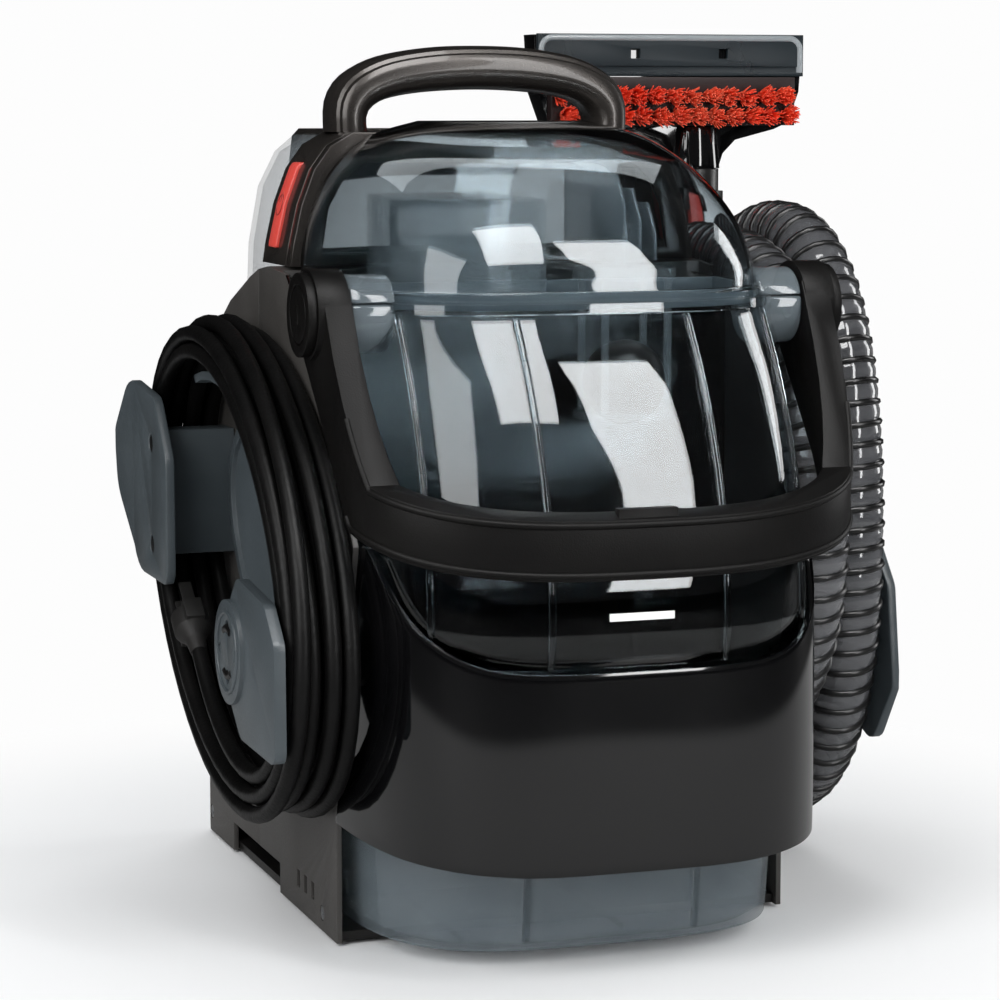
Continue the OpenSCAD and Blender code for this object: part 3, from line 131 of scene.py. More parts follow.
@dataclass(frozen=True)
class Finish:
    """A plain opaque finish: colour with slight mottling, roughness and a grain in relief."""

    name: str
    slot: str
    colour: str
    tone: str
    roughness: float
    metallic: float = 0.0
    coat: float = 0.0
    ior: float = 1.5
    grain: Grain = Grain.SPARK
    grain_mm: float = 0.9
    relief: float = 0.25
    spread: float = 0.08

    def build(self) -> bpy.types.Material:
        """Makes the material, once.

        Returns:
            The material, which later calls return again.
        """
        found = bpy.data.materials.get(self.name)
        if found:
            return found
        material = bpy.data.materials.new(self.name)
        material.use_nodes = True
        tree = material.node_tree
        shader = tree.nodes["Principled BSDF"]
        shader.inputs["Metallic"].default_value = self.metallic
        shader.inputs["Coat Weight"].default_value = self.coat
        shader.inputs["Coat Roughness"].default_value = COAT_ROUGHNESS
        if not self.metallic:
            shader.inputs["IOR"].default_value = self.ior
        self.pattern(tree, shader)
        return material

    def has_relief(self) -> bool:
        """Tells whether the grain stands out: polished and printed skins are flat."""
        return self.relief > 0 and self.grain in (Grain.SPARK, Grain.BRUSHED)

    def place(self, tree: bpy.types.NodeTree, stretch: Point = (1, 1, 1)) -> bpy.types.NodeSocket:
        """Gives the object coordinates, stretched for a brushed grain."""
        where = add_node(tree, "TexCoord").outputs["Object"]
        return add_node(tree, "Mapping", Vector=where, Scale=stretch).outputs["Vector"]

    def pattern(self, tree: bpy.types.NodeTree, shader: bpy.types.Node) -> None:
        """Adds mottled colour, uneven roughness and the grain's relief.

        Args:
            tree: the material's node tree.
            shader: the node that makes the surface.
        """
        at = self.place(tree, (1, 1, 0.05) if self.grain is Grain.BRUSHED else (1, 1, 1))
        broad = add_node(tree, "TexNoise", Vector=at, Scale=MOTTLE_SCALE, Detail=3.0).outputs["Fac"]
        pitch = self.grain_mm * MM
        fine = add_node(tree, "TexNoise", Vector=at, Scale=1 / pitch, Detail=2.0).outputs["Fac"]
        colour = add_node(tree, "ValToRGB", Fac=broad)
        for stop, code, start in zip(colour.color_ramp.elements, (self.colour, self.tone), MOTTLE_BAND):
            stop.color = linear(code)
            stop.position = start
        tree.links.new(colour.outputs["Color"], shader.inputs["Base Color"])
        rough = add_node(tree, "MapRange", Value=fine if self.grain is Grain.SPARK else broad)
        rough.inputs["To Min"].default_value = max(LEAST_ROUGHNESS, self.roughness - self.spread)
        rough.inputs["To Max"].default_value = self.roughness + self.spread
        tree.links.new(rough.outputs["Result"], shader.inputs["Roughness"])
        if self.has_relief():
            bump = add_node(tree, "Bump", Height=fine, Strength=self.relief, Distance=pitch * GRAIN_DEPTH)
            tree.links.new(bump.outputs["Normal"], shader.inputs["Normal"])


@dataclass(frozen=True)
class ClearFinish(Finish):
    """A tinted clear plastic that bends the light that it lets through."""

    through: float = 1.0

    def pattern(self, tree: bpy.types.NodeTree, shader: bpy.types.Node) -> None:
        """Adds the tint, faint flow marks in the gloss and the share of light let through.

        Args:
            tree: the material's node tree.
            shader: the node that makes the surface.
        """
        at = self.place(tree)
        flow = add_node(tree, "TexNoise", Vector=at, Scale=FLOW_SCALE, Detail=2.0).outputs["Fac"]
        tint = add_node(tree, "ValToRGB", Fac=flow)
        for stop, code in zip(tint.color_ramp.elements, (self.colour, self.tone)):
            stop.color = linear(code)
        tree.links.new(tint.outputs["Color"], shader.inputs["Base Color"])
        shader.inputs["Roughness"].default_value = self.roughness
        shader.inputs["Transmission Weight"].default_value = self.through
        bump = add_node(tree, "Bump", Height=flow, Strength=self.relief, Distance=FLOW_DEPTH)
        tree.links.new(bump.outputs["Normal"], shader.inputs["Normal"])


@dataclass(frozen=True)
class FilmFinish(Finish):
    """A thin tinted wall that shows what stands behind it, without bending the light."""

    grain: Grain = Grain.POLISHED
    cover: float = 0.5

    def pattern(self, tree: bpy.types.NodeTree, shader: bpy.types.Node) -> None:
        """Adds the mottled tint and the share of light that the wall stops."""
        super().pattern(tree, shader)
        shader.inputs["Alpha"].default_value = self.cover


# Moulded ABS with a spark-eroded skin: dull, with a fine even pebble.
HOUSING_ABS = Finish("housing_abs", "shell", "#403e3c", "#484644", 0.42, relief=0.3)
# The wall behind the tank is polished ABS whose near black is partly painted shade behind the tank, so that
# clear plastic in front of it looks dark.
SHADED_WALL_ABS = Finish("polished_abs_painted_shade", "black", "#020202", "#040404", 0.2, grain=Grain.POLISHED)
# Polished ABS of the cover: deep black with sharp reflections.
GLOSS_ABS = Finish(
    "polished_abs", "cover", "#060607", "#0a0a0b", 0.07, coat=0.6, grain=Grain.POLISHED, spread=0.02
)
# Metallic lacquer over ABS: tiny flakes in a dark charcoal.
CHARCOAL_LACQUER = Finish(
    "charcoal_lacquer", "charcoal", "#383533", "#45413e", 0.3, metallic=0.65, coat=0.25, grain_mm=0.6,
    relief=0.1,
)
# Glass-filled nylon: matt black that catches a soft broad light.
BAIL_NYLON = Finish("bail_nylon", "bail", "#0c0b0b", "#11100f", 0.46, ior=1.27, grain_mm=0.7)
# Slate ABS of the hooks and racks.
SLATE_ABS = Finish("slate_abs", "slate", "#40474b", "#484f53", 0.36, relief=0.2)
# Soft-touch rubber of the plug and the hose's cuffs: nearly no reflection.
SOFT_RUBBER = Finish("soft_rubber", "grip", "#171615", "#1f1d1c", 0.6, grain_mm=0.6, relief=0.3)
# Harder rubber of the feet.
FOOT_RUBBER = Finish("foot_rubber", "soft_black", "#1b1a1a", "#222121", 0.7, grain_mm=0.6, relief=0.3)
# Polypropylene in coral red, satin from its mould.
CORAL_PP = Finish("coral_pp", "red", "#d24138", "#d94d43", 0.38, grain_mm=0.6, relief=0.15)
# Coral polypropylene of the switch's engraved marks, painted darker as the shade in their grooves.
CORAL_GROOVE_SHADE = Finish("coral_pp_painted_groove_shade", "red", "#8c231d", "#9a2a24", 0.5, grain_mm=0.6, relief=0.1)
# Black ABS of the base, the grip and the inner parts.
BLACK_ABS = Finish("black_abs", "black", "#121111", "#181716", 0.36, relief=0.2)
# PVC jacket of the cord: waxy, a little dusty.
CORD_PVC = Finish(
    "cord_pvc", "cord", "#080808", "#100f0f", 0.44, ior=1.3, grain_mm=1.8, relief=0.2, spread=0.12
)
# Hard PVC of the helix round the hose.
RIB_PVC = Finish("rib_pvc", "hose", "#141414", "#1c1c1d", 0.3, grain=Grain.POLISHED)
# Zinc-plated steel screws and turned shafts.
ZINC_STEEL = Finish(
    "zinc_steel", "steel", "#a9abae", "#b8babd", 0.32, metallic=1.0, grain=Grain.BRUSHED, relief=0.1
)
# Black-oxide steel of the hook's screws.
BLACK_STEEL = Finish("black_oxide_steel", "steel", "#0d0d0d", "#151515", 0.5, metallic=0.4, relief=0.1)
# Die-cast alloy of the fan and the pump.
DIE_CAST = Finish("die_cast_alloy", "alloy", "#b1b3b6", "#c0c2c5", 0.4, metallic=1.0)
# Enamelled copper of the motor's windings.
COPPER_WIRE = Finish(
    "enamelled_copper", "copper", "#9a5632", "#b06a40", 0.35, metallic=0.8, grain=Grain.BRUSHED, relief=0.4
)
# Coral nylon filaments: each is too thin to show a grain.
TUFT_NYLON = Finish("tuft_nylon", "tuft", "#ff5230", "#ff7a55", 0.5, grain_mm=0.5, relief=0.0)
# Dull ABS behind the tufts, tinted by their light.
BLOCK_ABS = Finish("brush_block_abs", "black", "#190606", "#210909", 0.6, relief=0.1)
# White ink of the level bar.
WHITE_PRINT = Finish("white_print", "white", "#f1f1ee", "#ffffff", 0.5, grain=Grain.PRINTED)
# Smoke-tinted SAN of the dirty tank and its lid: glass-clear and dark at its edges.
SMOKE_SAN = ClearFinish("smoke_san", "smoke", "#dbe3e8", "#e1e9ec", 0.02, ior=1.42, relief=0.02)
# The same resin in the tank's foot, where scattered light turns it slate.
FOOT_SAN = FilmFinish("foot_san", "smoke", "#6f7a81", "#7d888e", 0.08, coat=0.6, cover=0.42)
# Thick smoky corners of the same resin, where the tint gathers: ears and air guides.
EAR_SAN = FilmFinish("thick_san", "smoke", "#7f8b92", "#8c979d", 0.08, coat=1.0, cover=0.5)
# Thin clear SAN of the separator and the float's cage.
INNER_SAN = FilmFinish("inner_san", "clear", "#8d989e", "#9aa4a9", 0.08, coat=1.0, cover=0.24)
# Deep smoke SAN of the nozzle's window.
WINDOW_SAN = FilmFinish("window_san", "clear", "#1d252a", "#252e33", 0.4, ior=1.3, cover=0.9)
# The window's thick rim of the same resin catches the light and looks pale.
RIM_SAN = FilmFinish("rim_san", "clear", "#aeb6ba", "#bcc3c7", 0.2, coat=0.6, cover=0.6)
# Silicone of the lid's seal.
SEAL_SILICONE = FilmFinish(
    "seal_silicone", "smoke", "#66727a", "#737e85", 0.35, grain=Grain.SPARK, relief=0.05, cover=0.7
)
# Milky polypropylene of the clean tank.
MILKY_PP = FilmFinish("milky_pp", "pale", "#8f999f", "#9ca5ab", 0.24, coat=0.6, cover=0.22)
# Soft clear PVC of the hose's wall between its ribs.
HOSE_PVC = FilmFinish("hose_pvc", "hose", "#58595c", "#6e6f72", 0.1, coat=1.0, cover=0.68)


# ---- modelling ----

# vertices closer than this are one, in metres
WELD = 2e-6
# faces of a CAD node that meet under this angle are one, in radians
FLAT = math.radians(0.6)


def metres(points: Iterable[Sequence[float]]) -> list[Point]:
    """Turns places in millimetres into metres."""
    return [(x * MM, y * MM, z * MM) for x, y, z in points]


def angles(start: float, sweep: float, steps: int) -> list[float]:
    """Spreads angles evenly over a sweep, both of its ends among them.

    Args:
        start: the first angle in degrees.
        sweep: from the first to the last, in degrees.
        steps: stretches between them.

    Returns:
        Angles in radians.
    """
    return [math.radians(start + sweep * n / steps) for n in range(steps + 1)]


def around(count: int) -> list[float]:
    """Gives the angles of a full turn in radians, without its end."""
    return [math.tau * n / count for n in range(count)]


class Shape:
    """A mesh in the making: loops of vertices drawn out into walls, then finished by bmesh operators."""

    def __init__(self) -> None:
        """Starts empty."""
        self.bm = bmesh.new()

    def ring(self, points: Iterable[Point], closed: bool = True) -> list[bmesh.types.BMVert]:
        """Starts an outline from its few vertices.

        Args:
            points: corners in metres, in order.
            closed: joins the last to the first.

        Returns:
            The new vertices in order.
        """
        ring = [self.bm.verts.new(p) for p in points]
        for a, b in zip(ring, ring[1:] + (ring[:1] if closed else [])):
            if a is not b:
                self.bm.edges.new((a, b))
        return ring

    def grow(
        self, ring: list[bmesh.types.BMVert], points: Iterable[Point], closed: bool = True
    ) -> list[bmesh.types.BMVert]:
        """Extrudes an outline to its next station.

        Args:
            ring: vertices of the outline so far.
            points: where each of them goes.
            closed: the outline is a closed loop.

        Returns:
            The extruded vertices in the same order.
        """
        pairs = list(zip(ring, ring[1:] + (ring[:1] if closed else [])))
        edges = [self.bm.edges.get(pair) for pair in pairs]
        made = bmesh.ops.extrude_edge_only(self.bm, edges=edges)["geom"]
        fresh = {v for v in made if isinstance(v, bmesh.types.BMVert)}
        moved = []
        for old, point in zip(ring, points):
            new = next(e.other_vert(old) for e in old.link_edges if e.other_vert(old) in fresh)
            new.co = point
            moved.append(new)
        return moved

    def cap(self, ring: list[bmesh.types.BMVert]) -> None:
        """Closes an outline with one face."""
        edges = [self.bm.edges.get(pair) for pair in zip(ring, ring[1:] + ring[:1])]
        bmesh.ops.contextual_create(self.bm, geom=edges)

    def loft(
        self, stations: Sequence[Sequence[Point]], closed: bool = True, start: bool = True, end: bool = True
    ) -> "Shape":
        """Draws an outline through stations into a wall.

        Args:
            stations: outlines with equal counts of points, in metres.
            closed: each outline is a closed loop.
            start: closes the first station.
            end: closes the last station.

        Returns:
            This shape.
        """
        first = ring = self.ring(stations[0], closed)
        for station in stations[1:]:
            ring = self.grow(ring, station, closed)
        if start:
            self.cap(first)
        if end:
            self.cap(ring)
        return self

    def sheet(self, stations: Sequence[Sequence[Point]], closed: bool = False) -> "Shape":
        """Draws outlines in metres into a sheet that is open at its first and last station."""
        return self.loft(stations, closed, start=False, end=False)

    def turn(self, profile: Sequence[Pair], steps: int = 48) -> "Shape":
        """Spins a profile about +Z.

        Args:
            profile: radius and height pairs in millimetres.
            steps: sides of the full turn.

        Returns:
            This shape.
        """
        line = self.ring([(r * MM, 0, z * MM) for r, z in profile], closed=False)
        edges = [self.bm.edges.get(pair) for pair in zip(line, line[1:])]
        bmesh.ops.spin(
            self.bm, geom=line + edges, axis=(0, 0, 1), cent=(0, 0, 0), angle=math.tau, steps=steps,
            use_merge=True,
        )
        bmesh.ops.remove_doubles(self.bm, verts=self.bm.verts, dist=WELD / 2)
        return self

    def block(self, low: Point, high: Point) -> "Shape":
        """Adds a box.

        Args:
            low: its lowest corner in millimetres.
            high: its highest corner.

        Returns:
            This shape.
        """
        size = [(h - l) * MM for l, h in zip(low, high)]
        middle = [(h + l) / 2 * MM for l, h in zip(low, high)]
        matrix = Matrix.Translation(middle) @ Matrix.Diagonal((*size, 1))
        bmesh.ops.create_cube(self.bm, size=1, matrix=matrix)
        return self

    def bevel(self, width: float, angle: float = 30, segments: int = 3) -> "Shape":
        """Rounds every edge sharper than an angle.

        Args:
            width: in millimetres.
            angle: in degrees.
            segments: across each rounded edge.

        Returns:
            This shape.
        """
        self.bm.normal_update()
        pairs = [e for e in self.bm.edges if len(e.link_faces) == 2]
        sharp = [e for e in pairs if e.calc_face_angle(0) > math.radians(angle)]
        bmesh.ops.bevel(
            self.bm, geom=sharp, offset=width * MM, segments=segments, profile=0.5, affect="EDGES",
            material=-1, clamp_overlap=True,
        )
        return self

    def place(self, matrix: Matrix) -> "Shape":
        """Moves the whole mesh to its place."""
        bmesh.ops.transform(self.bm, matrix=matrix, verts=self.bm.verts)
        return self

    def both_sides(self) -> "Shape":
        """Copies the mesh to the other side of the machine.

        Returns:
            This shape.
        """
        parts = self.bm.verts[:] + self.bm.edges[:] + self.bm.faces[:]
        twin = bmesh.ops.duplicate(self.bm, geom=parts)["geom"]
        verts = [v for v in twin if isinstance(v, bmesh.types.BMVert)]
        bmesh.ops.scale(self.bm, vec=(-1, 1, 1), verts=verts)
        return self

    def outward(self) -> "Shape":
        """Merges doubles and points every face outwards.

        Returns:
            This shape.
        """
        bmesh.ops.remove_doubles(self.bm, verts=self.bm.verts, dist=WELD)
        bmesh.ops.recalc_face_normals(self.bm, faces=self.bm.faces)
        return self

    def finish(self, name: str, finish: Finish, smooth: float = 40.0) -> bpy.types.Object:
        """Turns the mesh into a piece.

        Args:
            name: the piece's name.
            finish: its finish.
            smooth: edges under this angle in degrees are shaded smooth.

        Returns:
            The new object, at the origin.
        """
        mesh = bpy.data.meshes.new(name)
        self.bm.to_mesh(mesh)
        self.bm.free()
        return dress(bpy.data.objects.new(name, mesh), finish, smooth)


def dress(piece: bpy.types.Object, finish: Finish, smooth: float = 40.0) -> bpy.types.Object:
    """Links a piece, shades it and gives it its finish.

    Args:
        piece: the new object.
        finish: its finish.
        smooth: edges under this angle in degrees are shaded smooth.

    Returns:
        The same object.
    """
    bpy.context.scene.collection.objects.link(piece)
    piece.data.materials.clear()
    piece.data.materials.append(finish.build())
    if piece.type == "MESH":
        piece.data.shade_smooth()
        piece.data.set_sharp_from_angle(angle=math.radians(smooth))
    return piece


def thicken(piece: bpy.types.Object, wall: float) -> None:
    """Gives a sheet a wall on its inner side.

    Args:
        piece: the sheet.
        wall: in millimetres.
    """
    solid = piece.modifiers.new("wall", "SOLIDIFY")
    solid.thickness = wall * MM
    solid.offset = -1


def tube(
    name: str, points: Sequence[Point], radius: float, finish: Finish, sides: int = 4
) -> bpy.types.Object:
    """Makes a round bar along a smooth route.

    Args:
        name: the piece's name.
        points: the route in metres.
        radius: in metres.
        finish: the bar's finish.
        sides: the bevel's resolution.

    Returns:
        A curve of one open spline.
    """
    curve = bpy.data.curves.new(name, "CURVE")
    curve.dimensions = "3D"
    curve.bevel_depth = radius
    curve.bevel_resolution = sides
    curve.use_fill_caps = True
    spline = curve.splines.new("POLY")
    spline.points.add(len(points) - 1)
    for slot, point in zip(spline.points, points):
        slot.co = (*point, 1)
    spline.use_smooth = True
    return dress(bpy.data.objects.new(name, curve), finish)


def sgn_pow(value: float, power: float) -> float:
    """Raises a size to a power and keeps the sign."""
    return math.copysign(abs(value) ** power, value)


def ease(share: float) -> float:
    """Smooth step from 0 to 1."""
    share = min(max(share, 0.0), 1.0)
    return share * share * (3 - 2 * share)


def frames(path: Sequence[Vector], up: Vector) -> list[tuple[Vector, Vector]]:
    """Gives each point of a route two axes square to its direction and to each other.

    Args:
        path: the route.
        up: the side that the first axis leans to.

    Returns:
        First and second axis for each point.
    """
    out = []
    for i in range(len(path)):
        way = (path[min(i + 1, len(path) - 1)] - path[max(i - 1, 0)]).normalized()
        side = (up - way * up.dot(way)).normalized()
        out.append((side, way.cross(side)))
    return out


def route_sums(route: Sequence[Sequence[float]]) -> list[float]:
    """Measures a route.

    Args:
        route: its points in order.

    Returns:
        How far each point lies along the route from its first.
    """
    sums = [0.0]
    for a, b in zip(route, route[1:]):
        sums.append(sums[-1] + math.dist(a, b))
    return sums


def rounded_line(points: Sequence[Sequence[float]], steps: int = 6) -> list[tuple[float, ...]]:
    """Draws a smooth line through a few points.

    Args:
        points: of any size, in order.
        steps: new points for each stretch.

    Returns:
        The points with the smooth ones between them.
    """
    out = []
    for i in range(len(points) - 1):
        four = [points[min(max(i + k, 0), len(points) - 1)] for k in (-1, 0, 1, 2)]
        for t in (n / steps for n in range(steps)):
            out.append(tuple(smooth_value(*sizes, t) for sizes in zip(*four)))
    return out + [tuple(points[-1])]


def smooth_value(p: float, q: float, r: float, s: float, t: float) -> float:
    """Reads a smooth curve through four even values, t of the way from the second to the third."""
    return 0.5 * (2 * q + (r - p) * t + (2 * p - 5 * q + 4 * r - s) * t * t + (3 * q - p - 3 * r + s) * t**3)


def along(table: Sequence[Pair], at: float) -> float:
    """Reads a value from a table, in a straight line between its pairs.

    Args:
        table: pairs of place and value, in order.
        at: the place.

    Returns:
        The value there, or the nearer end's value past the table.
    """
    for (a, u), (b, v) in zip(table, table[1:]):
        if (at - a) * (at - b) <= 0 and a != b:
            return u + (v - u) * (at - a) / (b - a)
    return table[0][1] if abs(at - table[0][0]) < abs(at - table[-1][0]) else table[-1][1]


def bow(width: float, rear: float, reach: float, square: float, count: int) -> list[Pair]:
    """Draws half a superellipse from the left round the front to the right.

    Args:
        width: half width.
        rear: y of its open ends.
        reach: how far it comes forward of the middle of the machine.
        square: 2 is round and 4 nearly square.
        count: stretches.

    Returns:
        x and y pairs in millimetres.
    """
    out = []
    for a in (math.pi * i / count for i in range(count + 1)):
        across = sgn_pow(math.cos(a), 2 / square)
        ahead = sgn_pow(math.sin(a), 2 / square)
        out.append((-width * across, rear - (reach + rear) * ahead))
    return out


# ---- the studio ----


@dataclass(frozen=True)
class SoftBox:
    """One soft lamp; place, size and aim in metres, power in watts."""

    name: str
    place: Point
    size: Pair
    power: float
    aim: Point = (0, 0, 0.2)
    shines: bool = True
    mirrored: bool = True

    def hang(self) -> None:
        """Hangs the lamp so that it looks at its aim, and hides it from matt or from mirror reflections."""
        lamp = bpy.data.lights.new(self.name, "AREA")
        lamp.shape = "RECTANGLE"
        lamp.size, lamp.size_y = self.size
        lamp.energy = self.power
        holder = bpy.data.objects.new(self.name, lamp)
        holder.location = self.place
        holder.rotation_euler = (Vector(self.aim) - Vector(self.place)).to_track_quat("-Z", "Y").to_euler()
        holder.visible_diffuse = self.shines
        holder.visible_glossy = self.mirrored
        bpy.context.scene.collection.objects.link(holder)


@dataclass
class Studio:
    """Camera, floor, backdrop and soft lights; lengths in metres, angles in degrees."""

    eye: Point = (-0.47404, -1.41218, 0.36834)
    heading: float = -18.96
    tilt: float = -7.25
    lens: float = 113.0
    paper: str = "#f2f3f4"
    far_white: str = "#fdfdfd"
    # half the sheet's width, its front edge, where it starts to rise, its bend and its top
    half_width: float = 8.0
    front: float = -6.0
    rise_from: float = 1.6
    bend: float = 1.2
    top: float = 6.0
    # what mirrors see of the sheet: its share of light, as far as it is lit, and what is left beyond
    flagged: float = 0.42
    lit_reach: float = 0.74
    lit_fade: float = 0.06
    unlit: float = 0.01
    # the shadow on the floor starts to fade at the first distance from the origin and ends at the second
    shadow_fade: Pair = (0.17, 0.42)
    # strength of the surrounding light, and what mirrors see of it
    ambient: float = 0.38
    mirrored: float = 0.05
    boxes: tuple[SoftBox, ...] = (
        SoftBox("left", (-1.11, -0.87, 0.95), (0.9, 1.3), 18),
        SoftBox("right", (0.57, -1.27, 0.9), (0.2, 1.6), 12, aim=(0.5, 0, 0.25)),
        SoftBox("over", (0.05, -0.8, 1.43), (0.55, 0.8), 15, aim=(0.03, -0.15, 0.3), shines=False),
        SoftBox("rear", (0.2, 1.3, 1.9), (2.2, 0.8), 20, mirrored=False),
        SoftBox("edge", (1.7, 0.2, 0.7), (0.4, 1.2), 8),
    )

    def build(self) -> None:
        """Sets the camera, the pale floor and the lights."""
        scene = bpy.context.scene
        scene.view_settings.view_transform = "Standard"
        camera = bpy.data.objects.new("camera", bpy.data.cameras.new("camera"))
        camera.data.lens = self.lens
        camera.location = self.eye
        camera.rotation_euler = (math.radians(90 + self.tilt), 0, math.radians(self.heading))
        scene.collection.objects.link(camera)
        scene.camera = camera
        self.backdrop()
        self.world()
        for box in self.boxes:
            box.hang()

    def backdrop(self) -> None:
        """Lays one plain sheet under the machine that sweeps up far behind it."""
        bend = [
            (self.rise_from + self.bend * math.sin(a), self.bend - self.bend * math.cos(a))
            for a in angles(0, 90, 15)
        ]
        sweep = [(self.front, 0.0), *bend, (self.rise_from + self.bend, self.top)]
        shape = Shape().sheet([[(x, y, z) for y, z in sweep] for x in (-self.half_width, self.half_width)])
        paper = Finish("backdrop_paper", "white", self.paper, self.paper, 0.9, grain=Grain.PRINTED)
        sheet = shape.finish("backdrop", paper, 60)
        self.flag(sheet.data.materials[0])

    def flag(self, material: bpy.types.Material) -> None:
        """Dims the sheet in mirror reflections and lets it run out to plain white far from the machine.

        Args:
            material: the sheet's material.
        """
        tree = material.node_tree
        shader = tree.nodes["Principled BSDF"]
        path = add_node(tree, "LightPath").outputs
        mix = add_node(tree, "Mix", {"data_type": "RGBA"}, Factor=path["Glossy Depth"])
        colour = [sock for sock in mix.inputs if sock.type == "RGBA"]
        colour[0].default_value = linear(self.paper)
        tree.links.new(next(sock for sock in mix.outputs if sock.type == "RGBA"), shader.inputs["Base Color"])
        where = add_node(tree, "TexCoord").outputs["Object"]
        reach = add_node(tree, "VectorMath", {"operation": "LENGTH"}, i0=where).outputs["Value"]
        lit = {"From_Min": self.lit_reach, "From_Max": self.lit_reach + self.lit_fade}
        dark = add_node(tree, "MapRange", Value=reach, To_Min=self.flagged, To_Max=self.unlit, **lit)
        tree.links.new(dark.outputs["Result"], colour[1])
        near, away = self.shadow_fade
        smooth = {"interpolation_type": "SMOOTHSTEP"}
        far = add_node(tree, "MapRange", smooth, Value=reach, From_Min=near, From_Max=away).outputs["Result"]
        rays = {"i0": path["Is Camera Ray"], "i1": path["Is Transmission Ray"]}
        seen = add_node(tree, "Math", {"operation": "MAXIMUM"}, **rays).outputs["Value"]
        less = {"operation": "SUBTRACT", "use_clamp": True}
        plain = add_node(tree, "Math", less, i0=seen, i1=path["Glossy Depth"]).outputs["Value"]
        share = add_node(tree, "Math", {"operation": "MULTIPLY"}, i0=far, i1=plain).outputs["Value"]
        glow = add_node(tree, "Emission", Color=linear(self.far_white)).outputs["Emission"]
        both = add_node(tree, "MixShader", Fac=share, i1=shader.outputs["BSDF"], i2=glow)
        tree.links.new(both.outputs["Shader"], tree.nodes["Material Output"].inputs["Surface"])

    def world(self) -> None:
        """Fills the room with soft light that mirrors hardly see."""
        world = bpy.data.worlds.new("surround")
        bpy.context.scene.world = world
        world.use_nodes = True
        tree = world.node_tree
        plain = tree.nodes["Background"]
        plain.inputs["Color"].default_value = linear(self.paper)
        bounces = add_node(tree, "LightPath").outputs["Glossy Depth"]
        share = add_node(tree, "MapRange", Value=bounces, To_Min=self.ambient, To_Max=self.mirrored)
        tree.links.new(share.outputs["Result"], plain.inputs["Strength"])


# ---- the cord side ----


@dataclass
class CordWinding:
    """The mains cord in its nine loops on the left; sizes in millimetres."""

    diameter: float = 7.5
    side_x: float = 106.0
    first_layer: float = 5.4
    loops: float = 9.0
    layers: int = 4
    loop_pitch: float = 8.4
    layer_pitch: float = 8.2
    # the mean loop: its middle, half axes and slant in degrees
    centre_y: float = -35.0
    centre_z: float = 160.0
    half_a: float = 133.0
    half_b: float = 90.0
    tilt: float = 25.0
    # where on the loop the cord comes in, in degrees
    start: float = 200.0
    # parts of a turn that its ends take, and how far inside the mean loop they lie
    lead_in: float = 0.2
    lead_out: float = 0.2
    inlet_depth: float = 32.0
    plug_depth: float = 26.0
    # part of a turn in which the cord climbs to its next layer
    climb: float = 0.5
    steps: int = 48

    def turns(self) -> float:
        """Turns in one layer."""
        return (self.loops - self.lead_out) / self.layers

    def radial(self, t: float) -> float:
        """Winds the layers out and in, between the way in and the way out.

        Args:
            t: turns from the start.

        Returns:
            How far the cord lies outside the mean loop, in millimetres.
        """
        half = self.loop_pitch * self.turns() / 2
        if t < self.lead_in:
            share = t / self.lead_in
            return -self.inlet_depth + (self.inlet_depth - half) * share * (2 - share)
        layer = (t - self.lead_in) / self.turns()
        if layer < self.layers:
            j = math.floor(layer)
            way = -1 if j % 2 == 0 else 1
            return way * (half - 2 * half * (layer - j))
        share = (layer - self.layers) * self.turns() / self.lead_out
        return -half + (half - self.plug_depth) * share**2

    def point(self, t: float) -> Vector:
        """Follows the cord's middle round its slanted loops.

        Args:
            t: turns from the start.

        Returns:
            The place in metres.
        """
        a, r = math.radians(self.start + 360 * t), self.radial(t)
        u, v = (self.half_a + r) * math.cos(a), (self.half_b + r) * math.sin(a)
        c, s = math.cos(math.radians(self.tilt)), math.sin(math.radians(self.tilt))
        ends = [self.lead_in + n * self.turns() for n in range(1, self.layers)]
        climbs = sum(ease((t - end) / self.climb + 0.5) for end in ends)
        x = -(self.side_x + self.first_layer) - self.layer_pitch * climbs
        return Vector((x, self.centre_y + u * c - v * s, self.centre_z + u * s + v * c)) * MM

    def route(self) -> list[Vector]:
        """The whole route, with a straight cord's diameter at both ends.

        Returns:
            Points in metres, from the inlet to the plug.
        """
        count = round((self.lead_in + self.layers * self.turns() + self.lead_out) * self.steps)
        path = [self.point(i / self.steps) for i in range(count + 1)]
        first = path[0] + (path[0] - path[1]).normalized() * self.diameter * MM
        last = path[-1] + (path[-1] - path[-2]).normalized() * self.diameter * MM
        return [first, *path, last]

    def build(self) -> None:
        route = self.route()
        cord = tube("mains_cord", route, self.diameter / 2 * MM, CORD_PVC, 3)
        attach(cord, "chassis")
        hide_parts("power_cord")


# ---- the hose side ----


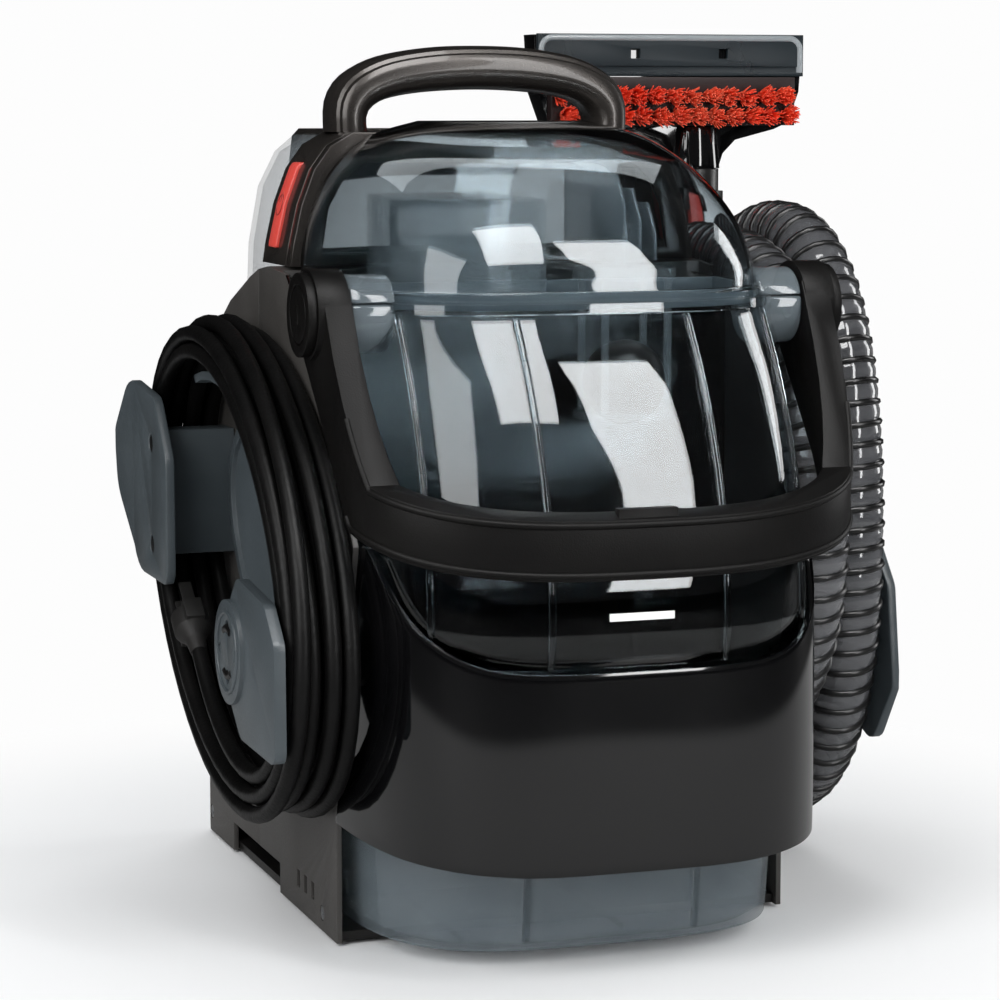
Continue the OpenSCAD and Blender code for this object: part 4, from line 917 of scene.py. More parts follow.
@dataclass
class HoseWinding:
    """The ribbed hose in its turns on the right; sizes in millimetres, angles in degrees."""

    diameter: float = 34.0
    pitch: float = 9.4
    wire: float = 3.2
    # the clear wall: how thick, how far under the ribs and how far it swells between them
    wall_thick: float = 1.1
    wall_sunk: float = 1.35
    swell: float = 0.45
    # the outer turn and the inner one: place across, middle and half axes
    outer_x: float = 159.0
    inner_x: float = 123.8
    outer_y: float = 13.0
    inner_y: float = -9.0
    centre_z: float = 175.5
    outer_half: Pair = (90.0, 136.5)
    inner_half: Pair = (108.0, 112.0)
    square: float = 2.3
    # angles between which it crosses from the outer turn to the inner one, and where it ends in its port
    crossing: Pair = (300.0, 480.0)
    sweep: int = 690
    # it starts this far outside the outer turn, is as far inside after one turn, and winds out again
    wind_in: float = 18.0
    wind_out: float = 30.0
    # the straight piece up to the grip's cuff
    grip_y: float = 121.0
    rise: float = 20.0

    def point(self, a: float) -> Vector:
        """Follows the hose's middle round its turns.

        Args:
            a: degrees from the grip's cuff.

        Returns:
            The place in metres.
        """
        start, end = self.crossing
        k = ease((a - start) / (end - start))
        r = self.wind_in * (1 - a / 180) if a < 360 else -self.wind_in + self.wind_out * (a - 360) / 360
        half_y, half_z = (low + (high - low) * k for low, high in zip(self.outer_half, self.inner_half))
        c, s = math.cos(math.radians(a)), math.sin(math.radians(a))
        x = self.outer_x + (self.inner_x - self.outer_x) * k
        y = self.outer_y + (self.inner_y - self.outer_y) * k + (half_y + r) * sgn_pow(c, 2 / self.square)
        z = self.centre_z - (half_z + r) * sgn_pow(s, 2 / self.square)
        return Vector((x, y, z)) * MM

    def route(self, step: int = 5) -> list[Vector]:
        """The hose's route from the grip's cuff to the port.

        Args:
            step: between points, in degrees.

        Returns:
            Points in metres.
        """
        heights = (self.rise, self.rise / 2)
        top = [Vector((self.outer_x, self.grip_y, self.centre_z + up)) * MM for up in heights]
        return top + [self.point(a) for a in range(0, self.sweep + 1, step)]

    def spaced(self, gap: float) -> list[Vector]:
        """The route again with evenly spaced points.

        Args:
            gap: between points, in millimetres.

        Returns:
            Points in metres.
        """
        route = self.route()
        sums = route_sums(route)
        count = round(sums[-1] / (gap * MM))
        out, i = [], 1
        for n in range(count + 1):
            s = sums[-1] * n / count
            while sums[i] < s and i < len(route) - 1:
                i += 1
            out.append(route[i - 1].lerp(route[i], (s - sums[i - 1]) / (sums[i] - sums[i - 1])))
        return out

    def wall(self, rings: int = 4, sides: int = 16) -> bpy.types.Object:
        """The clear wall, which bulges a little between its ribs.

        Args:
            rings: for each pitch.
            sides: of each ring.

        Returns:
            The wall.
        """
        points = self.spaced(self.pitch / rings)
        stations = []
        for n, (at, (u, v)) in enumerate(zip(points, frames(points, Vector((1, 0, 0))))):
            ring = []
            for j, a in enumerate(around(sides)):
                swell = self.swell * math.cos(math.tau * (n / rings - j / sides + 0.5))
                radius = (self.diameter / 2 - self.wall_sunk + swell) * MM
                ring.append(at + (u * math.cos(a) + v * math.sin(a)) * radius)
            stations.append(ring)
        piece = Shape().sheet(stations, closed=True).outward().finish("hose_wall", HOSE_PVC, 180)
        thicken(piece, self.wall_thick)
        return piece

    def rib(self, steps: int = 20) -> bpy.types.Object:
        """The black helix moulded round the wall.

        Args:
            steps: for each of its turns.

        Returns:
            The helix.
        """
        points = self.spaced(self.pitch / steps)
        radius = (self.diameter / 2 - self.wire / 2) * MM
        helix = []
        for n, (at, (u, v)) in enumerate(zip(points, frames(points, Vector((1, 0, 0))))):
            a = math.tau * n / steps
            helix.append(at + (u * math.cos(a) + v * math.sin(a)) * radius)
        return tube("hose_rib", helix, self.wire / 2 * MM, RIB_PVC, 1)

    def build(self) -> None:
        wall, rib = self.wall(), self.rib()
        for piece in (wall, rib):
            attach(piece, "chassis")
            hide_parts("flex_hose")
        route = self.spaced(20)


# ---- shells, handles and tanks ----


@dataclass
class Moulding:
    """A CAD node kept in its shape, with the small radii that its mould leaves on every edge."""

    node: str
    finish: Finish
    # radius of its edges in millimetres, and the angle in degrees over which an edge is rounded
    radius: float = 0.8
    angle: float = 32.0

    def build(self) -> bpy.types.Object:
        """Copies the node's mesh, merges it, rounds its edges and stands it in for the node.

        Returns:
            The piece that stands for the node.
        """
        shape = Shape()
        shape.bm.from_mesh(NODES[self.node].data)
        bmesh.ops.remove_doubles(shape.bm, verts=shape.bm.verts, dist=WELD / 2)
        bmesh.ops.dissolve_limit(shape.bm, angle_limit=FLAT, verts=shape.bm.verts, edges=shape.bm.edges)
        piece = shape.bevel(self.radius, self.angle, 2).finish(self.node + "_moulding", self.finish)
        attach(piece, BODY_OF[self.node])
        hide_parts(self.node)
        return piece


@dataclass
class LinedMoulding(Moulding):
    """A moulding whose forward faces behind the tank are polished and painted near black as shade; sizes in
    millimetres.
    """

    # the lining's near black is partly painted shade behind the tank
    lining: Finish = SHADED_WALL_ABS
    ahead_of: float = -58.0
    half_width: float = 103.6
    facing: float = 0.3

    def build(self) -> bpy.types.Object:
        """Builds the moulding and gives its faces behind the tank the polished lining with painted shade.

        Returns:
            The piece that stands for the node.
        """
        piece = super().build()
        piece.data.materials.append(self.lining.build())
        for face in piece.data.polygons:
            at = face.center / MM
            inside = at.y < self.ahead_of and abs(at.x) < self.half_width
            face.material_index = int(inside and face.normal.y < -self.facing)
        return piece


@dataclass
class Band:
    """The polished cover that goes round the tank's waist; sizes in millimetres."""

    width: float = 108.0
    rear: float = -30.0
    reach: float = 217.0
    square: float = 4.0
    wall: float = 2.6
    rolled: float = 0.9
    # how fast the wall draws in above and below its belly, and the share of its height where that stands
    belly: float = 1.3
    belly_at: float = 0.4
    columns: int = 260
    rows: int = 22
    # y and height of the lower and the upper edge, from the side to the front
    foot: tuple[Pair, ...] = ((-121.3, 56.0), (-198.0, 51.0), (-217.0, 48.0))
    head: tuple[Pair, ...] = (
        (-121.3, 58.0), (-130.0, 96.0), (-137.5, 131.0), (-145.0, 162.0), (-150.5, 181.0), (-158.0, 178.5),
        (-170.0, 166.0), (-184.0, 153.0), (-200.0, 142.0), (-210.0, 136.0), (-217.0, 133.0),
    )

    def row(
        self, share: float, plan: Sequence[Pair], foot: Sequence[Pair], head: Sequence[Pair]
    ) -> list[Point]:
        """One line round the band.

        Args:
            share: its height between the lower and the upper edge.
            plan: x and y round the band.
            foot: the smooth lower edge.
            head: the smooth upper edge.

        Returns:
            Points in metres.
        """
        lean = self.belly * (share - self.belly_at) ** 2
        line = []
        for x, y in plan:
            low, high = along(foot, y), along(head, y)
            line.append((x * (1 - lean / self.width), y + lean, low + (high - low) * share))
        return metres(line)

    def build(self) -> None:
        """Lofts the band between its swept upper edge and its foot, then gives it a wall and a rolled rim."""
        whole = bow(self.width, self.rear, self.reach, self.square, self.columns)
        plan = [place for place in whole if place[1] <= self.foot[0][0]]
        head, foot = rounded_line(self.head, 5), rounded_line(self.foot, 5)
        shape = Shape().sheet([self.row(n / self.rows, plan, foot, head) for n in range(self.rows + 1)])
        piece = shape.outward().finish("waist_band", GLOSS_ABS, 50)
        face_out(piece)
        thicken(piece, self.wall)
        rim = piece.modifiers.new("rim", "BEVEL")
        rim.width = self.rolled * MM
        rim.segments = 3
        rim.angle_limit = math.radians(50)
        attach(piece, "chassis")
        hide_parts("gloss_cover")


def face_out(piece: bpy.types.Object) -> None:
    """Turns an open sheet's faces so that they look away from the machine's middle line.

    Args:
        piece: a sheet round the z axis.
    """
    shape = Shape()
    shape.bm.from_mesh(piece.data)
    shape.bm.normal_update()
    if sum(f.normal.xy.dot(f.calc_center_median().xy) * f.calc_area() for f in shape.bm.faces) < 0:
        bmesh.ops.reverse_faces(shape.bm, faces=shape.bm.faces)
    shape.bm.to_mesh(piece.data)
    shape.bm.free()


@dataclass(frozen=True)
class Ear:
    """A slice of the round lugs on both sides that carry the bail's pivots; sizes in millimetres."""

    name: str
    # the slice's first angle and its sweep in degrees, in this many steps
    start: float
    sweep: float
    steps: int
    rounding: float
    pivot_y: float = -125.0
    pivot_z: float = 278.0
    radius: float = 17.0
    across: Point = (84.0, 101.5, 103.8)

    def build(self) -> bpy.types.Object:
        """Lofts the slice across and copies it to the other side.

        Returns:
            Both lugs in one piece.
        """
        turn = angles(self.start, self.sweep, self.steps)
        arc = [(self.radius * math.cos(a), self.radius * math.sin(a)) for a in turn]
        shape = Shape().loft(
            [metres((x, self.pivot_y + y, self.pivot_z + z) for y, z in arc) for x in self.across]
        )
        return shape.bevel(self.rounding, 50).both_sides().outward().finish(self.name, EAR_SAN)


@dataclass
class FrontTank:
    """The smoked recovery tank with its mould ribs; sizes in millimetres."""

    rear: float = -62.3
    square: float = 3.6
    wall: float = 2.4
    # how much more the floor's inner corner is rounded than the outer one
    floor_round: float = 1.5
    # height at which the slate foot ends
    split: float = 50.0
    # height, half width and reach from the floor to the rim
    foot: tuple[Point, ...] = (
        (6.3, 92.0, 176.0), (8.0, 94.5, 178.5), (12.0, 96.0, 180.3), (50.0, 97.0, 184.0),
        (126.0, 98.0, 188.0),
    )
    bowl: tuple[Point, ...] = (
        (134.5, 101.0, 211.0), (150.0, 103.0, 214.0), (180.0, 103.0, 211.5), (215.0, 102.0, 202.0),
        (250.0, 99.5, 185.0), (278.0, 96.0, 166.0),
    )
    rim: tuple[Point, ...] = ((279.0, 98.0, 168.0), (283.0, 98.0, 167.5))
    # the ribs' places across at the widest level, how much they follow its narrowing, half width and height
    ribs: tuple[float, ...] = (-84.0, -39.0, 39.0, 84.0)
    rib_draw: float = 0.07
    rib_half: float = 1.7
    rib_height: float = 1.5
    # the pip on the floor: place, radii of its top and foot, and height
    pip_at: Pair = (-20.0, -120.0)
    pip_radii: Pair = (4.5, 7.0)
    pip_height: float = 1.6
    # the shallow steps: places across, their ends, width and height
    steps_x: Pair = (-62.0, 12.0)
    steps_y: Pair = (-160.0, -70.0)
    step_width: float = 1.4
    step_height: float = 1.8
    ears: Ear = Ear("tank_ears", 164.0, 212.0, 24, 1.2)

    def outline(self, level: Sequence[float], inset: float) -> list[Point]:
        """One station's outline.

        Args:
            level: height, half width and reach.
            inset: how far inside the outer skin it lies.

        Returns:
            Points in metres.
        """
        z, width, reach = level
        line = bow(width - inset, self.rear - inset, reach - inset, self.square, 96)
        return metres((x, y, z) for x, y in line)

    def skin_y(self, x: float, level: Sequence[float]) -> float:
        """y of the front surface at a place across, in millimetres."""
        _, width, reach = level
        return self.rear - (reach + self.rear) * (1 - (abs(x) / width) ** self.square) ** (1 / self.square)

    def hull(self, levels: Sequence[Sequence[float]], name: str, finish: Finish) -> bpy.types.Object:
        """A stretch of the tank that is open at both ends, with its inner wall.

        Args:
            levels: the stations that it follows.
            name: the piece's name.
            finish: its finish.

        Returns:
            The stretch of tank.
        """
        stations = [self.outline(level, 0) for level in levels]
        stations += [self.outline(level, self.wall) for level in reversed(levels)]
        return Shape().sheet(stations + [stations[0]], closed=True).outward().finish(name, finish)

    def tub(self, levels: Sequence[Sequence[float]], name: str, finish: Finish) -> bpy.types.Object:
        """The lowest stretch of the tank, with its inner wall and its floor.

        Args:
            levels: the stations that it follows.
            name: the piece's name.
            finish: its finish.

        Returns:
            The stretch of tank.
        """
        floor = levels[0][0] + self.wall
        stations = [self.outline(level, 0) for level in levels]
        stations += [self.outline(level, self.wall) for level in reversed(levels) if level[0] > floor]
        stations.append(self.outline((floor, *levels[2][1:]), self.wall + self.floor_round))
        return Shape().loft(stations).outward().finish(name, finish)

    def pip(self) -> bpy.types.Object:
        """The round pip on the floor and the shallow steps beside it.

        Returns:
            All of them in one piece.
        """
        z = self.foot[0][0] + self.wall
        inner, outer = self.pip_radii
        top = z + self.pip_height
        shape = Shape().turn([(0, top), (inner, top), (outer, z)], 32)
        shape.place(Matrix.Translation((self.pip_at[0] * MM, self.pip_at[1] * MM, 0)))
        front, rear = self.steps_y
        for x in self.steps_x:
            shape.block((x, front, z), (x + self.step_width, rear, z + self.step_height))
        return shape.outward().finish("foot_pip", FOOT_SAN)

    def rib(self, x: float, levels: Sequence[Sequence[float]], name: str) -> bpy.types.Object:
        """A rounded rib up the front wall.

        Args:
            x: its place across at the widest level.
            levels: the stations that it follows.
            name: the piece's name.

        Returns:
            The rib.
        """
        widest = max(level[1] for level in self.bowl)
        stations = []
        for level in levels:
            at = x * (1 - self.rib_draw * (1 - level[1] / widest))
            y = self.skin_y(at, level)
            lean = self.skin_y(at + 1, level) - y
            normal = Vector((lean, -1, 0)).normalized() * self.rib_height
            side = Vector((1, lean, 0)).normalized() * self.rib_half
            base = Vector((at, y, level[0]))
            stations.append([(base + side * math.cos(a) + normal * math.sin(a)) * MM for a in around(12)])
        return Shape().loft(stations).outward().finish(name, SMOKE_SAN, 60)

    def build(self) -> None:
        """Makes the tank's pieces."""
        smooth = 4
        bowl, lower = rounded_line(self.bowl, 7), rounded_line(self.foot, smooth)
        wall = lower[2 * smooth :]
        split = next(n for n, level in enumerate(lower) if level[0] >= self.split)
        pieces = [
            self.hull([*lower[split:], *bowl, *self.rim], "recovery_tank", SMOKE_SAN),
            self.tub(lower[: split + 1], "tank_foot", FOOT_SAN),
            self.ears.build(),
            self.pip(),
        ]
        pieces += [self.rib(x, bowl, f"bowl_rib_{n}") for n, x in enumerate(self.ribs)]
        pieces += [self.rib(x, wall, f"foot_rib_{n}") for n, x in enumerate(self.ribs[1:3])]
        for piece in pieces:
            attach(piece, "front_tank")
            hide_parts("tank_shell")


@dataclass
class TankLid:
    """The domed lid with its ears and air guides; sizes in millimetres."""

    rear: float = -33.0
    base: float = 283.3
    wall: float = 2.4
    # height over the base from which the inner wall draws away from the outer one, and over how much
    crown_from: float = 58.0
    crown_height: float = 18.0
    # height over the base, half width, reach and squareness
    skirt: tuple = (
        (0.0, 98.0, 167.5, 3.6), (1.0, 98.6, 168.1, 3.6), (3.0, 98.6, 168.1, 3.6), (4.2, 97.4, 166.6, 3.6),
    )
    dome: tuple = (
        (4.5, 96.0, 165.0, 3.6), (17.0, 95.5, 162.0, 3.5), (34.0, 91.5, 151.0, 3.3), (50.0, 84.0, 131.0, 3.0),
        (62.0, 73.5, 108.0, 2.8), (70.5, 60.0, 84.0, 2.6), (76.0, 40.0, 59.0, 2.4),
    )
    ears: Ear = Ear("lid_ears", 18.5, 143.0, 20, 1.0)
    # the first air guide and how much the next ones move right, move back and lose in height
    guides: int = 3
    guide_x: float = 30.0
    guide_front: float = -112.0
    guide_top: float = 52.0
    guide_shift: Point = (13.0, 14.0, 7.0)
    guide_rear: float = -36.0
    guide_foot: float = 12.0
    guide_thick: float = 1.6
    guide_round: float = 0.4
    # how much its front upper corner is cut, back and down
    guide_cut: Pair = (10.0, 14.0)

    def outline(self, level: Sequence[float], inset: float) -> list[Point]:
        """One station's outline.

        Args:
            level: height over the base, half width, reach and squareness.
            inset: how far inside the outer skin it lies.

        Returns:
            Points in metres.
        """
        height, width, reach, square = level
        drop = inset * max(0.0, height - self.crown_from) / self.crown_height
        line = bow(width - inset, self.rear - inset, reach - inset, square, 96)
        return metres((x, y, self.base + height - drop) for x, y in line)

    def shell(self) -> bpy.types.Object:
        """The dome and its skirt with their inner wall.

        Returns:
            The shell.
        """
        levels = [*self.skirt, *rounded_line(self.dome, 7)]
        stations = [self.outline(level, self.wall) for level in reversed(levels)]
        stations += [self.outline(level, 0) for level in levels]
        return Shape().loft(stations).outward().finish("lid_dome_shell", SMOKE_SAN)

    def air_guides(self) -> bpy.types.Object:
        """The upright walls under the dome that turn the air.

        Returns:
            All of them in one piece.
        """
        shape = Shape()
        right, back, less = self.guide_shift
        cut_back, cut_down = self.guide_cut
        foot = self.base + self.guide_foot
        for n in range(self.guides):
            x, y = self.guide_x + right * n, self.guide_front + back * n
            top = self.base + self.guide_top - less * n
            side = [(y, foot), (self.guide_rear, foot), (self.guide_rear, top)]
            side += [(y + cut_back, top), (y, top - cut_down)]
            shape.loft([metres((x + wide, v, w) for v, w in side) for wide in (0.0, self.guide_thick)])
        return shape.bevel(self.guide_round, 40, 2).outward().finish("air_guides", EAR_SAN)

    def build(self) -> None:
        """Makes the dome, its ears and its air guides."""
        for piece in (self.shell(), self.ears.build(), self.air_guides()):
            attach(piece, "tank_lid")
            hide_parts("lid_dome")


@dataclass
class CarryHandle:
    """The carry handle: a fat rounded bow with its mould seam; sizes in millimetres."""

    # x and z of both edges from the left foot to the middle
    outer: tuple[Pair, ...] = (
        (-73.0, 354.0), (-73.0, 366.0), (-70.5, 374.0), (-64.5, 381.0), (-53.0, 387.3), (-39.0, 391.0),
        (-20.0, 393.4), (0.0, 394.0),
    )
    inner: tuple[Pair, ...] = (
        (-55.0, 354.0), (-55.5, 360.5), (-52.5, 365.5), (-44.0, 369.5), (-26.0, 372.3), (0.0, 373.5),
    )
    front: float = -13.0
    depth: float = 33.0
    square: float = 2.5
    count: int = 40
    sides: int = 36
    # the seam runs over the outer side, a third back from the front, on this side of each ring
    seam_side: int = 31
    seam: float = 0.93

    def spread(self, half: Sequence[Pair]) -> list[Vector]:
        """Evenly spaced points over both halves of an edge.

        Args:
            half: the left half, from its foot to the middle.

        Returns:
            x and z as vectors, in millimetres.
        """
        line = rounded_line([*half, *[(-x, z) for x, z in reversed(half[:-1])]], 8)
        sums = route_sums(line)
        across, upward = (list(zip(sums, sizes)) for sizes in zip(*line))
        places = [sums[-1] * n / self.count for n in range(self.count + 1)]
        return [Vector((along(across, s), along(upward, s))) for s in places]

    def build(self) -> None:
        """Lofts rounded sections between the outer and the inner edge."""
        stations = []
        middle, half = self.front + self.depth / 2, self.depth / 2
        for far, near in zip(self.spread(self.outer), self.spread(self.inner)):
            centre, reach = (far + near) / 2, (far - near) / 2
            ring = []
            for n, a in enumerate(around(self.sides)):
                out, deep = sgn_pow(math.cos(a), 2 / self.square), sgn_pow(math.sin(a), 2 / self.square)
                dent = self.seam if n == self.seam_side else 1.0
                at = centre + reach * out * dent
                ring.append((at.x * MM, (middle + half * deep * dent) * MM, at.y * MM))
            stations.append(ring)
        piece = Shape().loft(stations).outward().finish("carry_bow", CHARCOAL_LACQUER, 30)
        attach(piece, "chassis")
        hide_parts("carry_handle", "handle_underside")


# ---- tufts, marks and trims ----


@dataclass
class Bristles:
    """Nylon filaments in two rows of flared tufts; sizes in millimetres."""

    first_x: float = 81.0
    pitch: float = 10.25
    tufts: int = 13
    # height and shift of each row
    rows: tuple[Pair, ...] = ((360.5, 3.0), (370.5, 0.0))
    root_y: float = 112.4
    length: float = 14.0
    filaments: int = 80
    # from a filament's middle to its corners: real ones are 0.1 mm, these are as coarse as they need to show
    coarse: float = 0.52
    root: float = 2.2
    flare: float = 5.5
    # how much shorter the outer filaments are, and how unevenly all of them are cut
    dome: float = 0.16
    uneven: float = 0.1
    # how far a tuft leans at the most: across, down and up
    lean: Point = (0.9, 0.7, 0.5)
    # how far a filament strays from its tuft's lean, as a rule: across and up
    stray: Pair = (0.45, 0.4)
    # how far a filament's middle bows, at the most, to the tuft's middle and away from it
    bow: Pair = (0.8, 0.2)
    seed: int = 11
    # places along a filament and its thickness there
    taper: tuple[Pair, ...] = ((0.0, 1.0), (0.55, 0.95), (1.0, 0.6))
    # angles of a filament's three corners, in radians
    corners: Point = (0.3, 2.4, 4.5)

    def filament(self, shape: Shape, foot: Vector, tip: Vector, bend: Vector) -> None:
        """Draws one bent three-sided filament.

        Args:
            shape: the mesh that takes it.
            foot: where it leaves the block, in millimetres.
            tip: its end.
            bend: how far its middle bows.
        """
        stations = []
        for share, size in self.taper:
            at = foot.lerp(tip, share) + bend * (share * (1 - share) * 2)
            corner = [Vector((math.cos(a), 0, math.sin(a))) * self.coarse * size for a in self.corners]
            stations.append([(at + c) * MM for c in corner])
        shape.loft(stations, start=False)

    def tuft(self, shape: Shape, dice: random.Random, middle: Vector) -> None:
        """Plants one tuft.

        Args:
            shape: the mesh that takes it.
            dice: the source of its unevenness.
            middle: the middle of its root, in millimetres.
        """
        across, down, upward = self.lean
        lean = Vector((dice.uniform(-across, across), 0, dice.uniform(-down, upward)))
        for _ in range(self.filaments):
            a, share = dice.uniform(0, math.tau), math.sqrt(dice.random())
            way = Vector((math.cos(a), 0, math.sin(a))) * share
            stray = Vector((dice.gauss(0, self.stray[0]), 0, dice.gauss(0, self.stray[1])))
            reach = self.length * (1 - self.dome * share * share - dice.uniform(0, self.uneven))
            tip = middle + way * self.flare + lean + stray - Vector((0, reach, 0))
            bend = way * dice.uniform(-self.bow[0], self.bow[1])
            self.filament(shape, middle + way * self.root, tip, bend)

    def build(self) -> None:
        """Plants every tuft."""
        dice = random.Random(self.seed)
        shape = Shape()
        for z, shift in self.rows:
            for n in range(self.tufts):
                self.tuft(shape, dice, Vector((self.first_x + shift + self.pitch * n, self.root_y, z)))
        piece = shape.finish("bristle_filaments", TUFT_NYLON, 60)
        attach(piece, BODY_OF["bristle_tufts"])
        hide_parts("bristle_tufts")


@dataclass
class SwitchMarks:
    """A ring and a bar pressed into each red switch, drawn as beads in painted groove shade; sizes in
    millimetres.
    """

    # the arch's outer line: height and half width
    line: tuple[Pair, ...] = ((303.0, 98.5), (321.0, 94.5), (337.0, 88.5), (348.0, 80.5))
    y: float = 2.0
    z: float = 320.5
    # how far the switch's face stands out of the arch
    proud: float = 1.62
    ring: float = 4.6
    bar: Point = (1.2, 3.0, 5.6)
    # radius of the bead that draws them
    bead: float = 0.32

    def spot(self, across: float, up: float) -> Vector:
        """A place on the left switch's face, in metres."""
        z = self.z + up
        return Vector((-(along(self.line, z) + self.proud), self.y + across, z)) * MM

    def build(self) -> None:
        """Draws both marks."""
        ring = [self.spot(self.ring * math.cos(a), self.ring * math.sin(a)) for a in angles(100, 340, 36)]
        bar = [self.spot(0, up) for up in self.bar]
        for side, node in ((1, "power_button"), (-1, "spray_button")):
            for name, route in (("ring", ring), ("bar", bar)):
                line = [Vector((side * p.x, p.y, p.z)) for p in route]
                # the beads' darker coral is painted shade in the pressed marks
                piece = tube(f"{node}_{name}", line, self.bead * MM, CORAL_GROOVE_SHADE, 1)
                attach(piece, BODY_OF[node])


@dataclass
class BailBeads:
    """Raised beads along the edges of the bail's band; sizes in millimetres."""

    width: float = 115.7
    rear: float = -140.0
    reach: float = 222.6
    square: float = 2.8
    # the beads run over the front of the band, from this y on
    front_of: float = -166.0
    # y and height of both edges, and how far inside them the beads run
    upper: tuple[Pair, ...] = ((-140.3, 289.3), (-183.0, 211.0), (-234.0, 194.0))
    lower: tuple[Pair, ...] = ((-160.0, 207.0), (-170.0, 190.3), (-234.0, 169.0))
    inset: float = 2.2
    radius: float = 1.5

    def build(self) -> None:
        """Runs one bead below the upper edge and one above the lower."""
        whole = bow(self.width, self.rear, self.reach, self.square, 160)
        plan = [place for place in whole if place[1] < self.front_of]
        for name, table, lift in (("upper", self.upper, -self.inset), ("lower", self.lower, self.inset)):
            route = [Vector((x, y, along(table, y) + lift)) * MM for x, y in plan]
            bead = tube(f"bail_bead_{name}", route, self.radius * MM, BAIL_NYLON, 2)
            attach(bead, BODY_OF["bail"])


@dataclass
class WindowRim:
    """The pale rolled rim round the nozzle's window; sizes in millimetres."""

    radius: float = 1.9
    corner: float = 6.0
    # its middle lies this share of its radius behind the window's face
    sunk: float = 0.6

    def build(self) -> None:
        """Runs the rim up one end, along the top and down the other end."""
        box = NODES["nozzle_window"].bound_box
        low, high = (Vector([pick(c[i] for c in box) for i in range(3)]) for pick in (min, max))
        inset, bend = self.radius * MM, self.corner * MM
        left, right, foot, top = low.x + inset, high.x - inset, low.z + inset, high.z - inset
        line = [(left, foot)]
        line += [(left + bend * (1 - math.cos(a)), top - bend * (1 - math.sin(a))) for a in angles(0, 90, 9)]
        line += [(left + right - x, z) for x, z in reversed(line)]
        y = low.y + inset * self.sunk
        piece = tube("window_rim", [Vector((x, y, z)) for x, z in line], inset, RIM_SAN, 3)
        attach(piece, BODY_OF["nozzle_window"])


@dataclass
class HookMarks:
    """The raised ring on the cord hook's knob and black beads of painted shade in its two slots; sizes in
    millimetres.
    """

    # radii of the ring and the slots, then of the beads that draw them
    ring: float = 17.5
    slot: float = 10.5
    ring_bead: float = 1.0
    slot_bead: float = 2.0
    slot_sunk: float = 1.0
    # middle of each slot and its reach to both sides, in degrees
    slots: tuple[int, int] = (90, 270)
    slot_reach: int = 34

    def face(self) -> Vector:
        """Finds the middle of the knob's outer face.

        Returns:
            The place in metres.
        """
        corners = [v.co for v in NODES["cord_release_hook"].data.vertices]
        outer = min(c.x for c in corners)
        rim = [c for c in corners if c.x < outer + 0.2 * MM]
        ends = [(min(c[i] for c in rim), max(c[i] for c in rim)) for i in (1, 2)]
        return Vector((outer, *((low + high) / 2 for low, high in ends)))

    def build(self) -> None:
        """Rings the knob's face and lays a black arc of painted shade in each slot."""
        middle = self.face()
        routes = [("ring", range(0, 361, 10), self.ring, 0.0, self.ring_bead, SLATE_ABS)]
        for n, at in enumerate(self.slots):
            turn = range(at - self.slot_reach, at + self.slot_reach + 1, 6)
            # each slot's black bead is painted shade inside the slot
            routes.append((f"slot_{n}", turn, self.slot, self.slot_sunk, self.slot_bead, BLACK_ABS))
        for name, turn, radius, sunk, bead, finish in routes:
            arc = [(math.cos(math.radians(a)) * radius, math.sin(math.radians(a)) * radius) for a in turn]
            line = [middle + Vector((sunk, y, z)) * MM for y, z in arc]
            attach(tube(f"knob_{name}", line, bead * MM, finish, 3), BODY_OF["cord_release_hook"])


@dataclass
class Plain:
    """A CAD node that already has its looks in its shape, so that it only takes a finish."""

    node: str
    finish: Finish

    def build(self) -> None:
        """Gives the node its finish."""
        NODES[self.node].material_slots[0].material = self.finish.build()


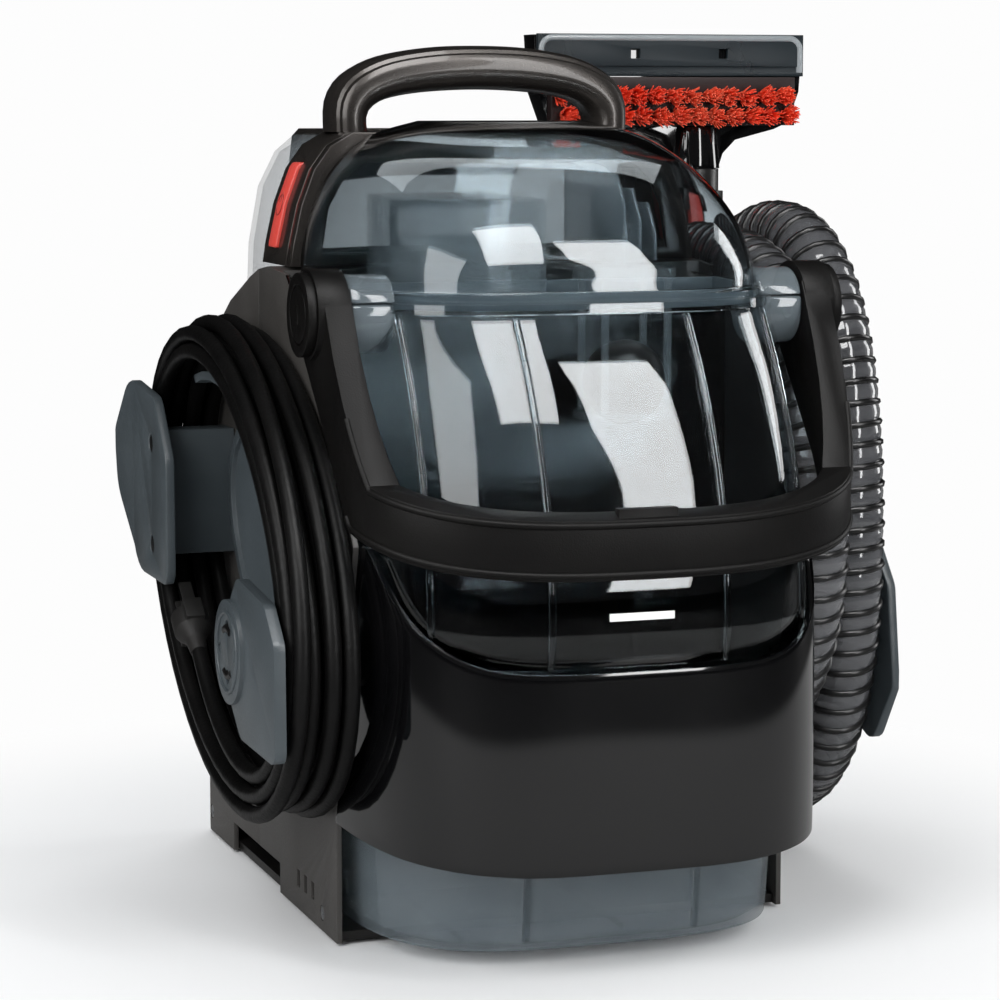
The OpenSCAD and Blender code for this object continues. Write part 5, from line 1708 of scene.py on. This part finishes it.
MOULDINGS = [
    Moulding("base_pan", BLACK_ABS, 1.0),
    LinedMoulding("front_housing", HOUSING_ABS, 1.2),
    Moulding("rear_housing", HOUSING_ABS, 1.2),
    Moulding("arch_frame", CHARCOAL_LACQUER, 1.6),
    Moulding("cord_pod", SLATE_ABS, 0.7),
    Moulding("button_seats", BLACK_ABS, 0.5),
    Moulding("power_button", CORAL_PP),
    Moulding("spray_button", CORAL_PP),
    Moulding("upper_cord_hook", SLATE_ABS, 0.9),
    Moulding("cord_release_hook", SLATE_ABS, 0.9),
    Moulding("hose_rack", SLATE_ABS, 0.9),
    Moulding("hose_lip", SLATE_ABS, 1.2),
    Moulding("tool_clip", SLATE_ABS),
    Moulding("hose_port", SLATE_ABS),
    Moulding("hose_cuffs", SOFT_RUBBER, 0.6),
    Moulding("grip_body", BLACK_ABS),
    Moulding("spray_trigger", CORAL_PP, 0.7),
    Moulding("tool_body", GLOSS_ABS, 0.9),
    Moulding("brush_block", BLOCK_ABS, 0.6),
    Moulding("tool_latch", CORAL_PP, 0.5),
    Moulding("nozzle_window", WINDOW_SAN),
    Moulding("separator_box", INNER_SAN, 0.5),
    Moulding("float_guide", INNER_SAN, 0.4),
    Moulding("clean_tank_handle", CHARCOAL_LACQUER, 1.2),
    Moulding("clean_tank_nipple", BLACK_ABS, 0.4),
    Moulding("exhaust_grille", BLACK_ABS, 0.4),
    Moulding("valve_socket", BLACK_ABS, 0.5),
    Moulding("motor_housing", BLACK_ABS),
    Moulding("spray_pump", DIE_CAST, 0.6),
    Moulding("suction_duct", BLACK_ABS),
    Moulding("hub_caps", BAIL_NYLON),
    Moulding("rubber_feet", FOOT_RUBBER),
    Moulding("housing_screws", ZINC_STEEL, 0.25),
    Moulding("cord_hook_screws", BLACK_STEEL, 0.25),
    Moulding("bail", BAIL_NYLON, 1.6),
    Moulding("clean_tank_shell", MILKY_PP),
    Moulding("power_plug", SOFT_RUBBER),
    Moulding("strain_relief", SOFT_RUBBER, 0.4),
    Moulding("lid_seal", SEAL_SILICONE, 0.3),
]
PLAIN_NODES = [
    Plain("bail_pivots", EAR_SAN),
    Plain("tank_level_bar", WHITE_PRINT),
    Plain("float_ball", BLACK_ABS),
    Plain("motor_windings", COPPER_WIRE),
    Plain("motor_shaft", ZINC_STEEL),
    Plain("fan_impeller", DIE_CAST),
    Plain("pump_tubes", MILKY_PP),
]
NODES: dict[str, bpy.types.Object] = {}
BODY_OF: dict[str, str] = {}


def main() -> None:
    """Builds every sub-assembly in order and reports it."""
    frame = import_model()
    NODES.update(frame["nodes"])
    bodies = frame["record"]["behaviour"]["bodies"]
    BODY_OF.update({node: body for body, nodes in bodies.items() for node in nodes})
    for part in (
        Studio(), CordWinding(), HoseWinding(), Band(), FrontTank(), TankLid(), CarryHandle(), Bristles(),
        SwitchMarks(), BailBeads(), WindowRim(), HookMarks(), *MOULDINGS, *PLAIN_NODES,
    ):
        part.build()
        LOG.info("built %s", getattr(part, "node", type(part).__name__))


if __name__ == "__main__":
    main()
